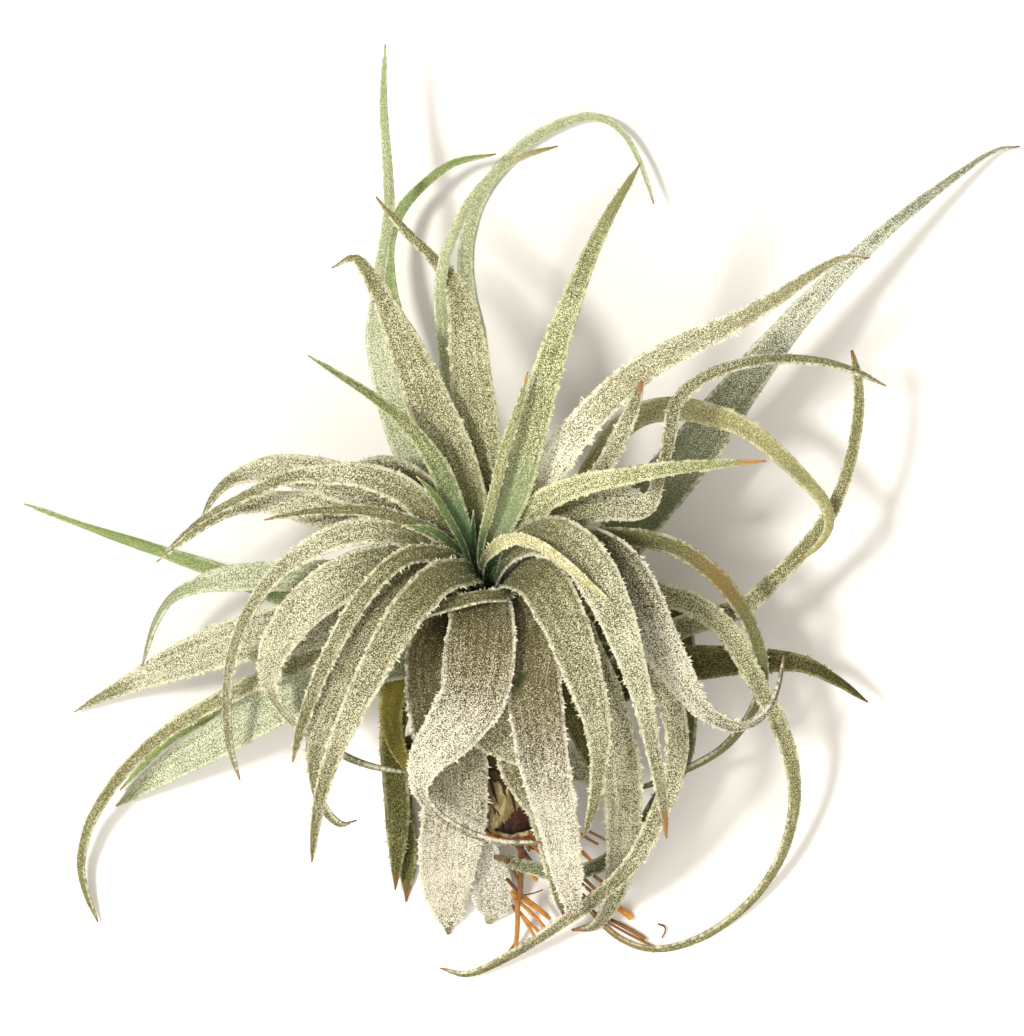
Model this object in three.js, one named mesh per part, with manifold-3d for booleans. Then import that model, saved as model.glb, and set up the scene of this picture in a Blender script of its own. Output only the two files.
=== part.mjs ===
// A recurved silver air plant, as picked, lying on a table: a short stem that leans back,
// a rosette of long channelled leaves that arch over it, and a tuft of wiry roots.
// Millimetres, +Z up. The table is z = 0 and the origin lies under the middle of the plant.
import * as THREE from "three";
import { mergeVertices } from "three/addons/utils/BufferGeometryUtils.js";
import Module from "manifold-3d";

const wasm = await Module();
wasm.setup();
const { degToRad, lerp } = THREE.MathUtils;

// Driving dimensions
const STEM_FOOT = [1, -76, 34]; // the root end of the stem, lifted off the table by the leaves
const STEM_HEART = [-9, -14, 77]; // the growing end, where the youngest leaves stand
// The stem's outline from its foot: [radius, distance along the stem]
const STEM_PROFILE = [
  [0, 0], [5.2, 0], [6.6, 3], [7.6, 10], [7.8, 24], [7, 40], [5.4, 56], [3.4, 69], [1.6, 76], [0, 76.5],
];
const STEM_SIDES = 12;
const FIT_GAP = 0.3; // clear space between pieces that touch
const BLADE_THICK = 0.8;
const RIB_THICK = 1.1;
const CHANNEL = 0.12; // how far a blade's edges rise over its rib, as a share of its width
const ROOT_WIDTH = 0.55; // width where a blade leaves the stem, as a share of its first stated width
const ROOT_DEPTH = 1.5; // how far from the stem's axis a leaf's rib starts
const FACING_SHARE = 0.4; // where along its route a blade faces the sky
const FINE_STEPS = 8; // steps a span in which a blade's facing is carried along its route
const RING_EVERY = 4; // a ring of the solid at every fourth fine step
const SHEATH_LONG = 15;
// The dry collar's wall: [radius, distance along the stem], clear of the stem by the fit gap
const SHEATH_WALL = [[6.3, 0], [7.9, 0], [8.9, 7.5], [8.9, 15], [8.1, 15], [7.9, 9], [6.3, 0]];
const SHEATH_SIDES = 12;
const SHEATH_SPLITS = 5;
const ROOT_CROWN = [[0, -3.4], [3.4, -3.2], [4.6, -1.6], [4.4, -FIT_GAP], [0, -FIT_GAP]];
const ROOT_COUNT = 15;
const ROOT_SIDES = 4;
const ROOT_STEPS = 3;
const ROOT_FAN = [-100, -38]; // bearings in degrees from +X, seen from above
const ROOT_REACH = [12, 29];
const ROOT_RADIUS = [0.5, 0.85];
const ROOT_FALL = 1.15; // how far a root sinks for each millimetre that it reaches out
const SEED = 7;
const MIDDLE = [2.49, 1.72]; // the point of the routes' plan that stands over the origin

// Each leaf is its place up the stem, the points [x, y, z, width] that its rib passes, and the
// angles in degrees by which its blade turns about the rib, evenly spaced from root to tip.
const HEART_LEAVES = [
  [74, [[-9.5, -5.9, 84, 1.6], [-9.5, 2, 91, 0.8]]],
  [71, [[-12.3, -9.9, 83.5, 2], [-16.2, -5.4, 90, 2.4], [-20.6, -2.5, 95, 1.8],
    [-27, -1.8, 97, 0.8]]],
  [72, [[-11.8, -7.4, 88, 1.6], [-16.2, 1, 96, 2], [-19.6, 6.4, 100.5, 1.6],
    [-23.5, 10.3, 103, 0.8]]],
  [68, [[-10.9, -5.4, 84.5, 3.4], [-14.3, 3, 92, 5.5], [-17.7, 11.8, 98, 5.2],
    [-24, 21.1, 102.5, 3.6], [-33.3, 29.2, 104, 2.4],
    [-50.1, 39.9, 100, 0.8]]],
  [72, [[-7.6, -6.9, 87, 1.8], [-4.9, 3.9, 97, 2.6], [-1.5, 17.6, 104, 2.6], [1.5, 26.4, 106, 2],
    [3.9, 35.9, 108, 0.8]]],
  [67, [[-4.4, -5.9, 85, 6], [0, 5.9, 92, 8.5], [3.9, 19.6, 98, 8.8], [7.8, 33.4, 101, 7.5],
    [12.3, 47.1, 102, 6], [18.7, 63.8, 99, 4], [24.6, 75.7, 95, 2.6], [31.5, 87.2, 89, 1]]],
  [69, [[-6.9, -10.9, 85, 2.6], [-3.4, -6.9, 93, 3], [1, -5.1, 99, 3], [6.9, -6.7, 104, 2.8],
    [13.7, -11.5, 106, 2.4], [19.6, -16.7, 104.5, 1.7], [24.5, -20.6, 103, 0.8]]],
];
const FRONT_LEAVES = [
  [65, [[-9.4, -14.3, 84, 6], [-12.8, -13.8, 93, 7.6], [-18.2, -15.2, 100, 8.6],
    [-25, -22, 105, 8.8], [-31.4, -32.3, 105, 8], [-37.3, -43.7, 100, 6.6], [-42.3, -54.1, 92, 5],
    [-46.4, -65.2, 81, 3.6], [-48.6, -75.4, 70, 2.5], [-49.8, -85.6, 59, 1]]],
  [62, [[-12.8, -11.8, 85, 3.8], [-18.7, -8.9, 93, 4.4], [-25.5, -9.3, 98, 4.6],
    [-32.4, -14.2, 101, 4.6], [-38.8, -22.6, 99, 4.4], [-44.3, -32.5, 93.5, 4],
    [-48.8, -42.4, 86, 3.3], [-52.4, -52.4, 76, 2.3], [-54.4, -60.5, 68, 0.9]]],
  [55, [[-12.8, -16.8, 80, 6], [-19.7, -14.8, 88, 8], [-27.5, -16.7, 93, 9.4],
    [-34.9, -24.6, 93, 10], [-40.4, -35.5, 87, 10], [-45, -46.5, 79, 8.6], [-48.6, -56.5, 69, 5],
    [-49, -64.7, 60, 3], [-47.2, -71.8, 53, 2.6], [-43, -76.4, 48, 2.2], [-38.8, -75.5, 45, 0.9]]],
  [60, [[-1.5, -18.3, 83.5, 3.4], [-2.5, -19.5, 92, 4.2], [-7.9, -19.7, 96, 4.6],
    [-14.2, -21.2, 97, 4.6], [-19.5, -22.8, 96, 3.6], [-22.8, -24.9, 94, 2.2],
    [-26, -28.5, 90, 1]], [50]],
  [57, [[-2, -17.3, 80, 7], [2, -14.3, 90.5, 10], [7.4, -16, 98.5, 12], [12.3, -24.5, 102, 11.6],
    [16.4, -35.3, 100, 10], [20.2, -47.2, 94, 7.4], [21.5, -56.2, 86, 5.4], [21, -64.5, 77.5, 3.8],
    [19.8, -72.3, 70, 2.4], [17.6, -79.5, 64, 1]]],
  [50, [[-6.9, -21.7, 84, 10], [-7.2, -22.6, 92, 14.5], [-7.3, -30.5, 97, 17.5],
    [-8.7, -41.3, 95, 16.5], [-14.3, -51.2, 88, 14], [-20.8, -59.3, 79, 9], [-22.8, -66.9, 71, 4.6],
    [-18.9, -73, 66, 2.8], [-11.9, -77.6, 62, 2.4], [-3, -80.6, 59, 2.1], [8, -80.7, 57, 1.2]]],
  [45, [[0, -20.8, 80, 8], [3.4, -21.7, 89, 9.5], [5.4, -30.5, 94, 12], [5.7, -42.3, 93, 13.4],
    [6.9, -54.2, 87, 13.2], [9.4, -66.3, 77, 11.5], [11.9, -78.5, 62, 9.5], [14, -90, 46, 7],
    [15.6, -100.5, 30, 2.5]]],
  [38, [[-11.9, -27.8, 68, 8], [-17.3, -26.7, 78, 10], [-20.7, -33.6, 82, 11],
    [-19.8, -45.5, 77, 13], [-15.5, -57.6, 66, 16.8], [-14.5, -69.8, 52, 16.6],
    [-15.9, -81.3, 35, 16],
    [-16.5, -91.9, 17, 12.5], [-16.2, -100.4, 4, 7], [-16.2, -105.6, 0.4, 2]]],
  [33, [[-7, -33.8, 62, 8], [-9.9, -37.7, 68, 9.4], [-11.6, -46.7, 66, 9.6], [-11.9, -62, 52, 10.2],
    [-8.9, -80.5, 28, 9.6], [-5.6, -91.5, 12.5, 11.4], [-5, -98.6, 4, 8.4], [-6, -102.8, 1, 4]]],
  [30, [[-1.5, -37, 62, 8], [-0.5, -44, 67, 9.5], [0.5, -53, 65, 10], [2, -62.5, 59, 9.5],
    [7, -71.5, 50.5, 7.5], [9, -80, 40, 6], [10.8, -91, 27, 3.8], [13.2, -101, 15, 1]]],
  [36, [[5.9, -23.8, 74, 6], [9.2, -29.6, 80.5, 7.5], [12.8, -41.5, 79, 8], [17.8, -52.5, 74, 7.4],
    [21, -63, 66, 3.6]]],
  [31, [[8.9, -25.8, 66, 7], [14.8, -25.7, 75, 7.6], [18.9, -32.6, 78, 7], [23, -43.5, 75, 8.2],
    [26.2, -56.6, 66, 9.6], [27.5, -69.8, 52, 9.8], [27.6, -83.3, 34, 8.2], [25.8, -94.9, 16, 5.4],
    [21.3, -102.9, 5, 3.6], [15.2, -104.5, 2, 1.8]]],
  [41, [[-8.5, -27, 76, 8], [-11, -31, 84, 9.5], [-11.5, -41, 84.5, 12], [-6, -50.5, 79, 13],
    [4, -56, 71, 12], [13.5, -60.5, 61, 9.5], [21, -64, 52, 5], [27, -66.5, 46, 1.5]]],
];
const RIGHT_LEAVES = [
  [65, [[-4.2, -8.4, 80, 3.6], [0.5, -2.2, 86, 5], [7.4, 3.9, 91.5, 6], [15.7, 7.9, 96, 5.5],
    [27.5, 10.3, 98, 4.6], [41.3, 12.5, 97.5, 3.2], [62.5, 14, 92, 0.9]]],
  [63, [[-2, -11.3, 84, 7], [3.9, -5.7, 93, 9], [10.8, -5.2, 99, 11], [17.7, -9.8, 101.5, 11],
    [23.5, -19.6, 101, 10], [28.2, -31.4, 97, 7.4], [32, -44.3, 90, 5.3], [34.9, -57.3, 80, 3.7],
    [37, -68.4, 70, 2.6], [38.5, -79.6, 60, 1]]],
  [54, [[6.9, -13.8, 80, 8], [16.3, -7.4, 88, 10], [24.6, -9.8, 91, 11], [30.5, -17.7, 89, 11],
    [35.5, -28.6, 83, 10], [41.6, -39.6, 75, 7.5], [47.6, -47.6, 67, 5], [55.7, -51.7, 60, 3.5],
    [62.8, -48.8, 56, 2.6], [66.3, -41.8, 56, 1.6], [67.7, -33.9, 58, 0.8]]],
  [46, [[4, -5.9, 75, 7], [11.9, 0.5, 81, 8.5], [21.7, 3.3, 83, 9], [30.2, 3, 81.5, 8.2],
    [34, 4, 80.5, 5], [36, 8.5, 80, 3], [37.6, 14, 79.5, 2.8], [39, 20.5, 79, 3.3],
    [40, 27.2, 78, 3.4],
    [44.5, 32.7, 76, 3.2], [52.5, 36.9, 73, 2.9], [63.5, 39.3, 69, 2.6], [75.5, 39, 64, 2.2],
    [84.6, 36.8, 60, 1.7], [93.2, 32.9, 56, 0.8]]],
  [36, [[10.9, -14.9, 65, 5], [19.8, -5.9, 71.5, 5], [29.7, -4.8, 73.5, 4.8], [39.6, -6.9, 72, 4.6],
    [47.6, -11.7, 68.5, 4.4], [54.7, -18.9, 62.5, 4.1], [59.8, -27.9, 54, 3.8],
    [62.5, -38, 45, 3.6], [61.2, -46.1, 37.5, 3.2], [56.3, -54.3, 31, 3], [49.3, -60.4, 26, 2.8],
    [34.3, -67.4, 19, 1.8], [26.2, -68.6, 17, 0.9]]],
  [22, [[17.9, -26.9, 54, 6], [28.9, -19.4, 58.5, 6.2], [37.8, -18.9, 59, 6],
    [47.8, -22.9, 56, 5.8], [54.9, -29.9, 52, 5.5], [60.5, -40, 46, 5], [66.2, -50.1, 38, 4.4],
    [70.4, -62.4, 28, 3.6], [70.9, -74.7, 18, 3], [67.3, -87, 10, 2.6], [59.8, -97.8, 4, 2.3],
    [48.7, -106.1, 0.5, 2.1], [36.5, -109.4, 0.4, 1.8], [26.4, -106.1, 1, 1.4],
    [17.8, -97.4, 2.5, 0.8]]],
  [29, [[13.9, -30.8, 62, 6], [23.8, -27.3, 70, 8], [30.7, -31.7, 70.5, 8], [37.2, -40.7, 66.5, 7],
    [40.8, -51.7, 61, 6], [40.4, -62.8, 54, 5.4], [36.5, -73.9, 47, 5], [30.1, -86.2, 37, 4.6],
    [21.1, -95.4, 27, 4], [10.1, -103.7, 16, 3.2], [-1, -111, 8, 2.4], [-11.2, -115.6, 4, 1.7],
    [-18.3, -114.1, 3, 0.8]]],
  [18, [[17.1, -40.2, 30, 6], [31.2, -23.1, 27, 6], [41.3, -25.2, 25, 5.5], [44, -35.2, 24, 4.8],
    [44.4, -47.3, 23, 4.6], [43, -60.4, 23, 4.4], [36.3, -72.5, 24, 4.2], [28.2, -83.5, 26, 3.8],
    [16.1, -89.2, 29, 3.6], [5, -88, 28.5, 3.6], [-4.5, -85.2, 25, 2.8]]],
  [22, [[16, -46, 44, 8], [40, -37.5, 43, 9], [50.1, -36, 41, 8],
    [70.4, -36.2, 30, 4.8], [80.6, -40.3, 23, 2.8],
    [89.9, -46.5, 15, 0.9]]],
  [13, [[14.1, -49.3, 26, 6], [38.2, -29.6, 31, 6],
    [57.2, -22.6, 34.5, 4.8], [66.2, -15, 36, 4.2], [74.2, -6.5, 37, 3.6], [80.7, 3, 37.5, 3.2],
    [84.7, 14, 38, 2.8], [86.8, 26.1, 38, 2.6], [86.7, 35.1, 37.5, 2.2], [85.2, 42.1, 37, 1.6]]],
];
const BACK_LEAVES = [
  [58, [[1, -3.9, 82, 7], [6.9, 7.9, 87, 8.5], [13.8, 18.7, 90, 8.2], [21.7, 27.6, 91, 7.6],
    [30.5, 35.4, 91, 7], [40.4, 41.4, 89, 6.2], [51.3, 46.6, 86, 5.2], [62.2, 52.3, 82, 4],
    [80.2, 63.7, 73, 1.9], [88.7, 64.5, 70, 0.8]]],
  [44, [[7.9, -4, 72, 5], [17.8, 5.9, 77, 4.6], [23.4, 13.8, 84, 4.6], [27.4, 21.7, 90, 4.2],
    [30.3, 28.5, 94.5, 3.2], [32, 33.6, 96, 2.2]]],
  [32, [[4, -26, 50, 7], [14, -4, 54, 7], [20.9, 13, 56, 6.4], [28.9, 23.9, 56.5, 6],
    [38.4, 27.1, 56, 6], [49.8, 25.6, 54, 5.6], [60.9, 20.5, 51, 4.8],
    [76, 6.5, 46, 3.2], [79.3, -0.5, 44, 2.6], [77.1, -6.2, 42.5, 1.8], [71.6, -11, 41, 0.8]]],
  [20, [[6, -38.2, 30, 9], [18.1, -18.1, 26, 12], [32.2, 1, 27, 13], [48, 20.2, 31.5, 11.8],
    [62.2, 39.1, 34, 8.4], [74.3, 53.2, 32, 6], [88.6, 67.4, 26, 4],
    [101.9, 78.7, 18, 2.8], [120.6, 92.2, 6, 1.2], [128.8, 94.3, 3, 0.8]]],
  [55, [[-5.9, -3, 74.5, 6], [-7.4, 9.9, 80, 9.5], [-8.9, 23.7, 82.5, 11], [-10.4, 37.5, 82.5, 10],
    [-11.7, 48.4, 80, 8], [-14.4, 57.4, 75, 5], [-18.8, 63.4, 71, 3], [-25.3, 70, 68, 2.3],
    [-30.3, 75.5, 66, 1.6], [-33.8, 79.8, 65, 0.8]]],
  [59, [[-9.4, -4.9, 79.5, 7], [-11.8, 4.9, 84, 10.5], [-15.8, 16.7, 88.5, 12],
    [-25.1, 39.4, 90.5, 9], [-30.1, 50.3, 88, 6], [-35, 59.7, 84, 3.6],
    [-39, 64.2, 81, 2], [-44.5, 61.8, 79, 0.8]]],
  [46, [[-7.9, -4, 70, 4.4], [-14.9, 29.7, 70, 3.8], [-16.8, 42.6, 72, 3.4],
    [-17.8, 53.5, 75, 3], [-17.1, 62.3, 77, 2.7], [-14.3, 70.7, 77, 2.5], [-9.9, 79.2, 76, 2.3],
    [-3.5, 85.7, 74, 2], [3.5, 89.9, 72, 1.5], [11.4, 92.2, 70, 0.8]]],
  [12, [[-6.1, -30.3, 20, 7], [-9.1, -5.1, 9, 7], [-9.6, 42.6, 2, 5],
    [-11.5, 57.9, 0.5, 4], [-11.5, 70, 0.4, 3.6], [-8.1, 81.2, 0.8, 3.3], [-1.5, 90.3, 2, 3],
    [7.1, 97.3, 3.5, 2.6], [18.2, 101.7, 5, 2], [26.3, 99.3, 7, 1.6], [31.9, 91.1, 9, 1.3],
    [35.9, 79.4, 11, 0.8]]],
  [38, [[-13.9, -11.9, 58, 7], [-20.9, 6, 58, 8], [-26.9, 19.9, 56, 8], [-30.9, 31.9, 53, 7],
    [-33.7, 43.9, 49, 5.5], [-33.6, 55, 45, 3.6], [-32.2, 67.1, 41, 2.8], [-30.8, 79.2, 37, 2.6],
    [-32.3, 103.5, 30, 2], [-31.9, 119.2, 27, 0.8]]],
  [26, [[-14, -18, 38, 7], [-20.1, 8, 32, 7.5], [-25.2, 30.2, 27, 7], [-28.7, 46.3, 23, 5.5],
    [-31.3, 58.5, 20, 4.4], [-31.3, 68.6, 18, 3.4], [-28.3, 77.3, 16, 2.8], [-22.2, 84.3, 15, 2.3],
    [-14.7, 89.7, 14, 1.8], [-4, 92, 13, 0.8]]],
];
const LEFT_LEAVES = [
  [66, [[-12.8, -7.9, 83, 3], [-18.7, -3.9, 89, 3.4], [-27.5, 0, 93.5, 3.4], [-37.3, 2, 96, 2.8],
    [-47.2, 1.9, 95.5, 2.1], [-55.1, 0.8, 93, 1.4], [-61, -0.5, 91, 0.8]]],
  [64, [[-13.3, -6.4, 83, 4.4], [-19.7, 0.5, 89, 6.4], [-27.5, 7.2, 92.5, 7],
    [-37.4, 10.5, 93.5, 6.2], [-47.2, 10.8, 92.5, 4.6], [-57.1, 9.3, 89, 3],
    [-75.2, 0.5, 78, 1.7], [-86.3, -8.6, 70, 0.8]]],
  [55, [[-13.9, -4, 76, 6], [-21.7, 6.9, 80, 7], [-29.7, 12.2, 79, 6], [-36.6, 12.2, 74, 4],
    [-42.7, 8.9, 68, 2], [-45.7, 6, 64, 0.8]]],
  [52, [[-16.8, -6.9, 74, 7], [-26.7, 1.5, 81.5, 9], [-37.5, 6.9, 84, 9.5], [-48.4, 10.6, 82, 9],
    [-59.4, 11.9, 76, 7], [-68.4, 9.9, 69, 3.6], [-73.5, 6, 64, 2.4], [-77.6, -0.5, 59, 0.8]]],
  [40, [[-18.9, -10.9, 66, 6.5], [-28.7, -4.5, 73.5, 8], [-40.6, -0.5, 75.5, 8],
    [-51.5, 2.5, 72.5, 7.5], [-61.5, 3.7, 67, 5], [-70.6, 1.5, 61, 2.8], [-79.7, -4, 55, 1.8],
    [-88.8, -11, 50, 0.8]]],
  [57, [[-14.8, -9.4, 80, 5], [-22.2, -4.9, 87.5, 6.5], [-30.5, -3, 91, 7], [-40.4, -3.7, 91, 6.6],
    [-50.3, -7.9, 87, 5.4], [-58.8, -14.3, 81, 4], [-65.4, -23.8, 72, 3.2], [-69.6, -34.8, 62, 2.8],
    [-71.1, -45.9, 51, 2.5], [-70.6, -57.1, 41, 2], [-68.3, -65.7, 34, 0.9]]],
  [47, [[-17.8, -17.8, 73, 7], [-26.6, -11.8, 83.5, 10], [-35.5, -12.3, 86.5, 11],
    [-45.4, -17.3, 84, 11], [-54.4, -25.7, 77, 9.5], [-59.8, -35.2, 68, 7], [-59.5, -43.3, 59, 4.6],
    [-54.9, -50.4, 51, 3.4], [-46, -57.3, 44, 2.8], [-36.1, -61.9, 39, 2.3],
    [-24.1, -64.2, 36, 1]]],
  [30, [[-18.9, -22.9, 57, 7], [-32.8, -15.9, 63, 8], [-47.7, -14.4, 62, 8],
    [-69.9, -15, 51, 6.4], [-79.1, -17, 43, 4], [-85.2, -20.1, 37, 2.4],
    [-89.4, -26.1, 31, 2], [-91.6, -32.2, 27, 1.4], [-93.2, -37.3, 24, 0.8]]],
  [34, [[-17.9, -26.8, 62, 9], [-31.8, -23.8, 66, 12.2],
    [-63.9, -29.5, 48, 12], [-78.3, -34.1, 34, 10], [-90.7, -39.3, 21, 6.5], [-101.2, -44, 10, 3],
    [-111.1, -49.2, 3, 0.8]]],
  [23, [[-18, -38, 46, 9], [-29.9, -34.9, 50, 11], [-48, -40.5, 45, 12],
    [-77.6, -57.5, 21, 9], [-89, -64.8, 10, 6],
    [-100.5, -73.1, 0.4, 1.2]]],
  [27, [[-19.9, -31.9, 54, 5.6], [-40.5, -31.8, 54, 5.4], [-62, -40, 45, 4.3],
    [-75.2, -46.6, 37, 3.6], [-88.5, -55.1, 28, 3.2], [-98.8, -65, 20, 2.9],
    [-106.2, -76.3, 12, 2.6], [-109.1, -87.1, 7, 2.2], [-107.8, -95.3, 4, 1.7],
    [-105, -102.5, 2, 0.9]]],
  [16, [[-18.1, -44.2, 32, 5], [-40.3, -42.3, 26, 5], [-60.5, -45.9, 19, 4],
    [-76.8, -50.5, 13, 3.2], [-87, -56.2, 9, 2.4], [-99.4, -69, 3, 0.8]]],
  [10, [[-14.1, -46.5, 16, 6], [-36.5, -30.4, 8, 6.5], [-56.8, -20.3, 4, 5.6], [-76.1, -13, 1.5, 3.8],
    [-93.4, -7.1, 0.4, 2.6], [-108.6, -2, 0.4, 1.5], [-123.8, 3.6, 2, 0.8]]],
  [20, [[-20, -42.1, 40, 7], [-27.4, -40.1, 38, 7.4], [-30.2, -47.2, 32, 6.2], [-29.2, -56.4, 26, 5],
    [-25.2, -64.5, 22, 2.5], [-22.2, -72.6, 19, 0.9]]],
  [12, [[-17.1, -51.3, 25, 6], [-27.2, -47.4, 21, 7], [-30.2, -54.5, 17.5, 6.2],
    [-29.4, -64.7, 13.5, 6.6], [-28.8, -76.9, 9.5, 6], [-29.6, -94.3, 4, 1]]],
  [7, [[-13.1, -60.5, 18, 6], [-24.3, -57.6, 14, 7], [-28.8, -64.8, 9.5, 7.5], [-27.9, -75, 5, 7],
    [-26.4, -86.2, 2, 5], [-26.9, -97.4, 0.6, 1]]],
];

let state = SEED;
const random = () => (state = (state * 16807) % 2147483647) / 2147483647;

const foot = new THREE.Vector3(...STEM_FOOT);
const stemWay = new THREE.Vector3(...STEM_HEART).sub(foot).normalize();

// Smooth values through a list of points, each a list of numbers, at t spans along it.
function through(points, t) {
  const last = points.length - 1;
  const i = Math.min(Math.floor(t), last - 1);
  const u = t - i;
  const before = points[i - 1] ?? points[0].map((a, k) => 2 * a - points[1][k]);
  const after = points[i + 2] ?? points[last].map((a, k) => 2 * a - points[last - 1][k]);
  return points[i].map((b, k) => {
    const [a, c, d] = [before[k], points[i + 1][k], after[k]];
    const [bend, twist] = [2 * a - 5 * b + 4 * c - d, 3 * b - a - 3 * c + d];
    return 0.5 * (2 * b + (c - a) * u + bend * u * u + twist * u * u * u);
  });
}

// A manifold solid from a closed geometry, and back.
function solidOf(geometry) {
  const bare = geometry.clone();
  bare.deleteAttribute("normal");
  bare.deleteAttribute("uv");
  const merged = mergeVertices(bare, 1e-4);
  const vertProperties = merged.attributes.position.array;
  const triVerts = new Uint32Array(merged.index.array);
  return new wasm.Manifold(new wasm.Mesh({ numProp: 3, vertProperties, triVerts }));
}

function geometryOf(solid) {
  const mesh = solid.getMesh();
  const geometry = new THREE.BufferGeometry();
  geometry.setAttribute("position", new THREE.BufferAttribute(mesh.vertProperties, 3));
  geometry.setIndex(new THREE.BufferAttribute(mesh.triVerts, 1));
  geometry.computeVertexNormals();
  return geometry;
}

// What is left of a solid beside the rooms that other pieces fill, without loose scraps.
function clearOf(solid, rooms) {
  const left = rooms.reduce((rest, room) => rest.subtract(room), solid);
  return left.decompose().reduce((a, b) => (b.volume() > a.volume() ? b : a));
}

// Stands a shape made round +Y from 0 on the foot of the stem, in line with it.
function standOnStem(geometry) {
  geometry.applyQuaternion(new THREE.Quaternion().setFromUnitVectors(new THREE.Vector3(0, 1, 0), stemWay));
  return geometry.translate(...STEM_FOOT);
}

// The stem as a lathed solid, grown all over by a margin.
function stemGeometry(margin = 0) {
  const top = STEM_PROFILE.length - 1;
  const outline = STEM_PROFILE.map(([r, s], i) => {
    return new THREE.Vector2(i % top ? r + margin : 0, s + (i > top / 2 ? margin : -margin));
  });
  const geometry = new THREE.LatheGeometry(outline, STEM_SIDES);
  return standOnStem(geometry);
}

// The line of a leaf's rib: for each ring its place, direction, upper side and width. The blade
// faces the sky at its middle, and turns as little as it can from there to its root and its tip.
function rings(rise, route, turns) {
  const onAxis = foot.clone().addScaledVector(stemWay, rise);
  const outward = new THREE.Vector3(...route[0]).sub(onAxis).projectOnPlane(stemWay).normalize();
  const root = onAxis.clone().addScaledVector(outward, ROOT_DEPTH);
  const points = [[...root, route[0][3] * ROOT_WIDTH], ...route];
  const spans = points.length - 1;
  const at = (t) => new THREE.Vector3(...through(points, Math.min(Math.max(t, 0), spans)));
  const steps = [];
  for (let k = 0; k <= spans * FINE_STEPS; k++) {
    const t = k / FINE_STEPS;
    const way = at(t + 0.01).sub(at(t - 0.01)).normalize();
    steps.push({ t, place: at(t), way, width: through(points, t)[3] });
  }
  const middle = Math.round((steps.length - 1) * FACING_SHARE);
  const carry = (k, upper) => (steps[k].upper = upper.clone().projectOnPlane(steps[k].way).normalize());
  carry(middle, new THREE.Vector3(0, 0, 1));
  for (let k = middle + 1; k < steps.length; k++) carry(k, steps[k - 1].upper);
  for (let k = middle - 1; k >= 0; k--) carry(k, steps[k + 1].upper);
  return steps.filter((step, k) => k % RING_EVERY === 0).map(({ t, place, way, upper, width }) => {
    const share = (t / spans) * (turns.length - 1);
    const angle = turns.length > 1 ? through(turns.map((a) => [a]), share)[0] : turns[0];
    const facing = upper.clone().applyAxisAngle(way, degToRad(angle));
    return { place, way, width, facing };
  });
}

// One leaf: a shallow channel swept along its rib, flattened where it meets the table.
function leafSolid([rise, route, turns = [0]], margin = 0) {
  const around = rings(rise, route, turns);
  const position = [];
  for (const { place, way, facing, width } of around) {
    const side = new THREE.Vector3().crossVectors(way, facing);
    const lift = width * CHANNEL;
    const corner = (across, up, thick) => {
      const over = thick / 2 + Math.sign(thick) * margin;
      const out = across + Math.sign(across) * margin;
      const p = place.clone().addScaledVector(side, out).addScaledVector(facing, up + over);
      position.push(p.x, p.y, Math.max(p.z, thick > 0 ? BLADE_THICK + margin : -margin));
    };
    corner(-width / 2, lift, BLADE_THICK);
    corner(0, 0, RIB_THICK);
    corner(width / 2, lift, BLADE_THICK);
    corner(width / 2, lift, -BLADE_THICK);
    corner(0, 0, -RIB_THICK);
    corner(-width / 2, lift, -BLADE_THICK);
  }
  const index = [];
  const last = around.length - 1;
  for (let i = 0; i < last; i++) {
    for (let j = 0; j < 6; j++) {
      const [a, b] = [i * 6 + j, i * 6 + ((j + 1) % 6)];
      index.push(a, b, a + 6, b, b + 6, a + 6);
    }
  }
  for (const [base, flip] of [[0, 1], [last * 6, 0]]) {
    for (const [a, b, c] of [[0, 1, 4], [0, 4, 5], [1, 2, 3], [1, 3, 4]]) {
      index.push(base + a, base + (flip ? c : b), base + (flip ? b : c));
    }
  }
  const geometry = new THREE.BufferGeometry();
  geometry.setAttribute("position", new THREE.Float32BufferAttribute(position, 3));
  geometry.setIndex(index);
  return solidOf(geometry);
}

// The dry remains of the oldest leaf bases: a thin collar round the stem's foot, split and ragged.
function drySheathSolid(leafRooms) {
  const wall = SHEATH_WALL.map(([r, s]) => new THREE.Vector2(r, s));
  const collar = new THREE.LatheGeometry(wall, SHEATH_SIDES);
  let solid = solidOf(standOnStem(collar));
  for (let k = 0; k < SHEATH_SPLITS; k++) {
    const split = new THREE.BoxGeometry(1.6 + 2 * random(), 2 * SHEATH_LONG * (0.3 + 0.5 * random()), 12);
    split.rotateZ(0.3 * (random() - 0.5));
    split.translate(0, 0, 8);
    split.rotateY((k + 0.6 * random()) * (2 * Math.PI / SHEATH_SPLITS));
    solid = solid.subtract(solidOf(standOnStem(split)));
  }
  return clearOf(solid, leafRooms);
}

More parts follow.
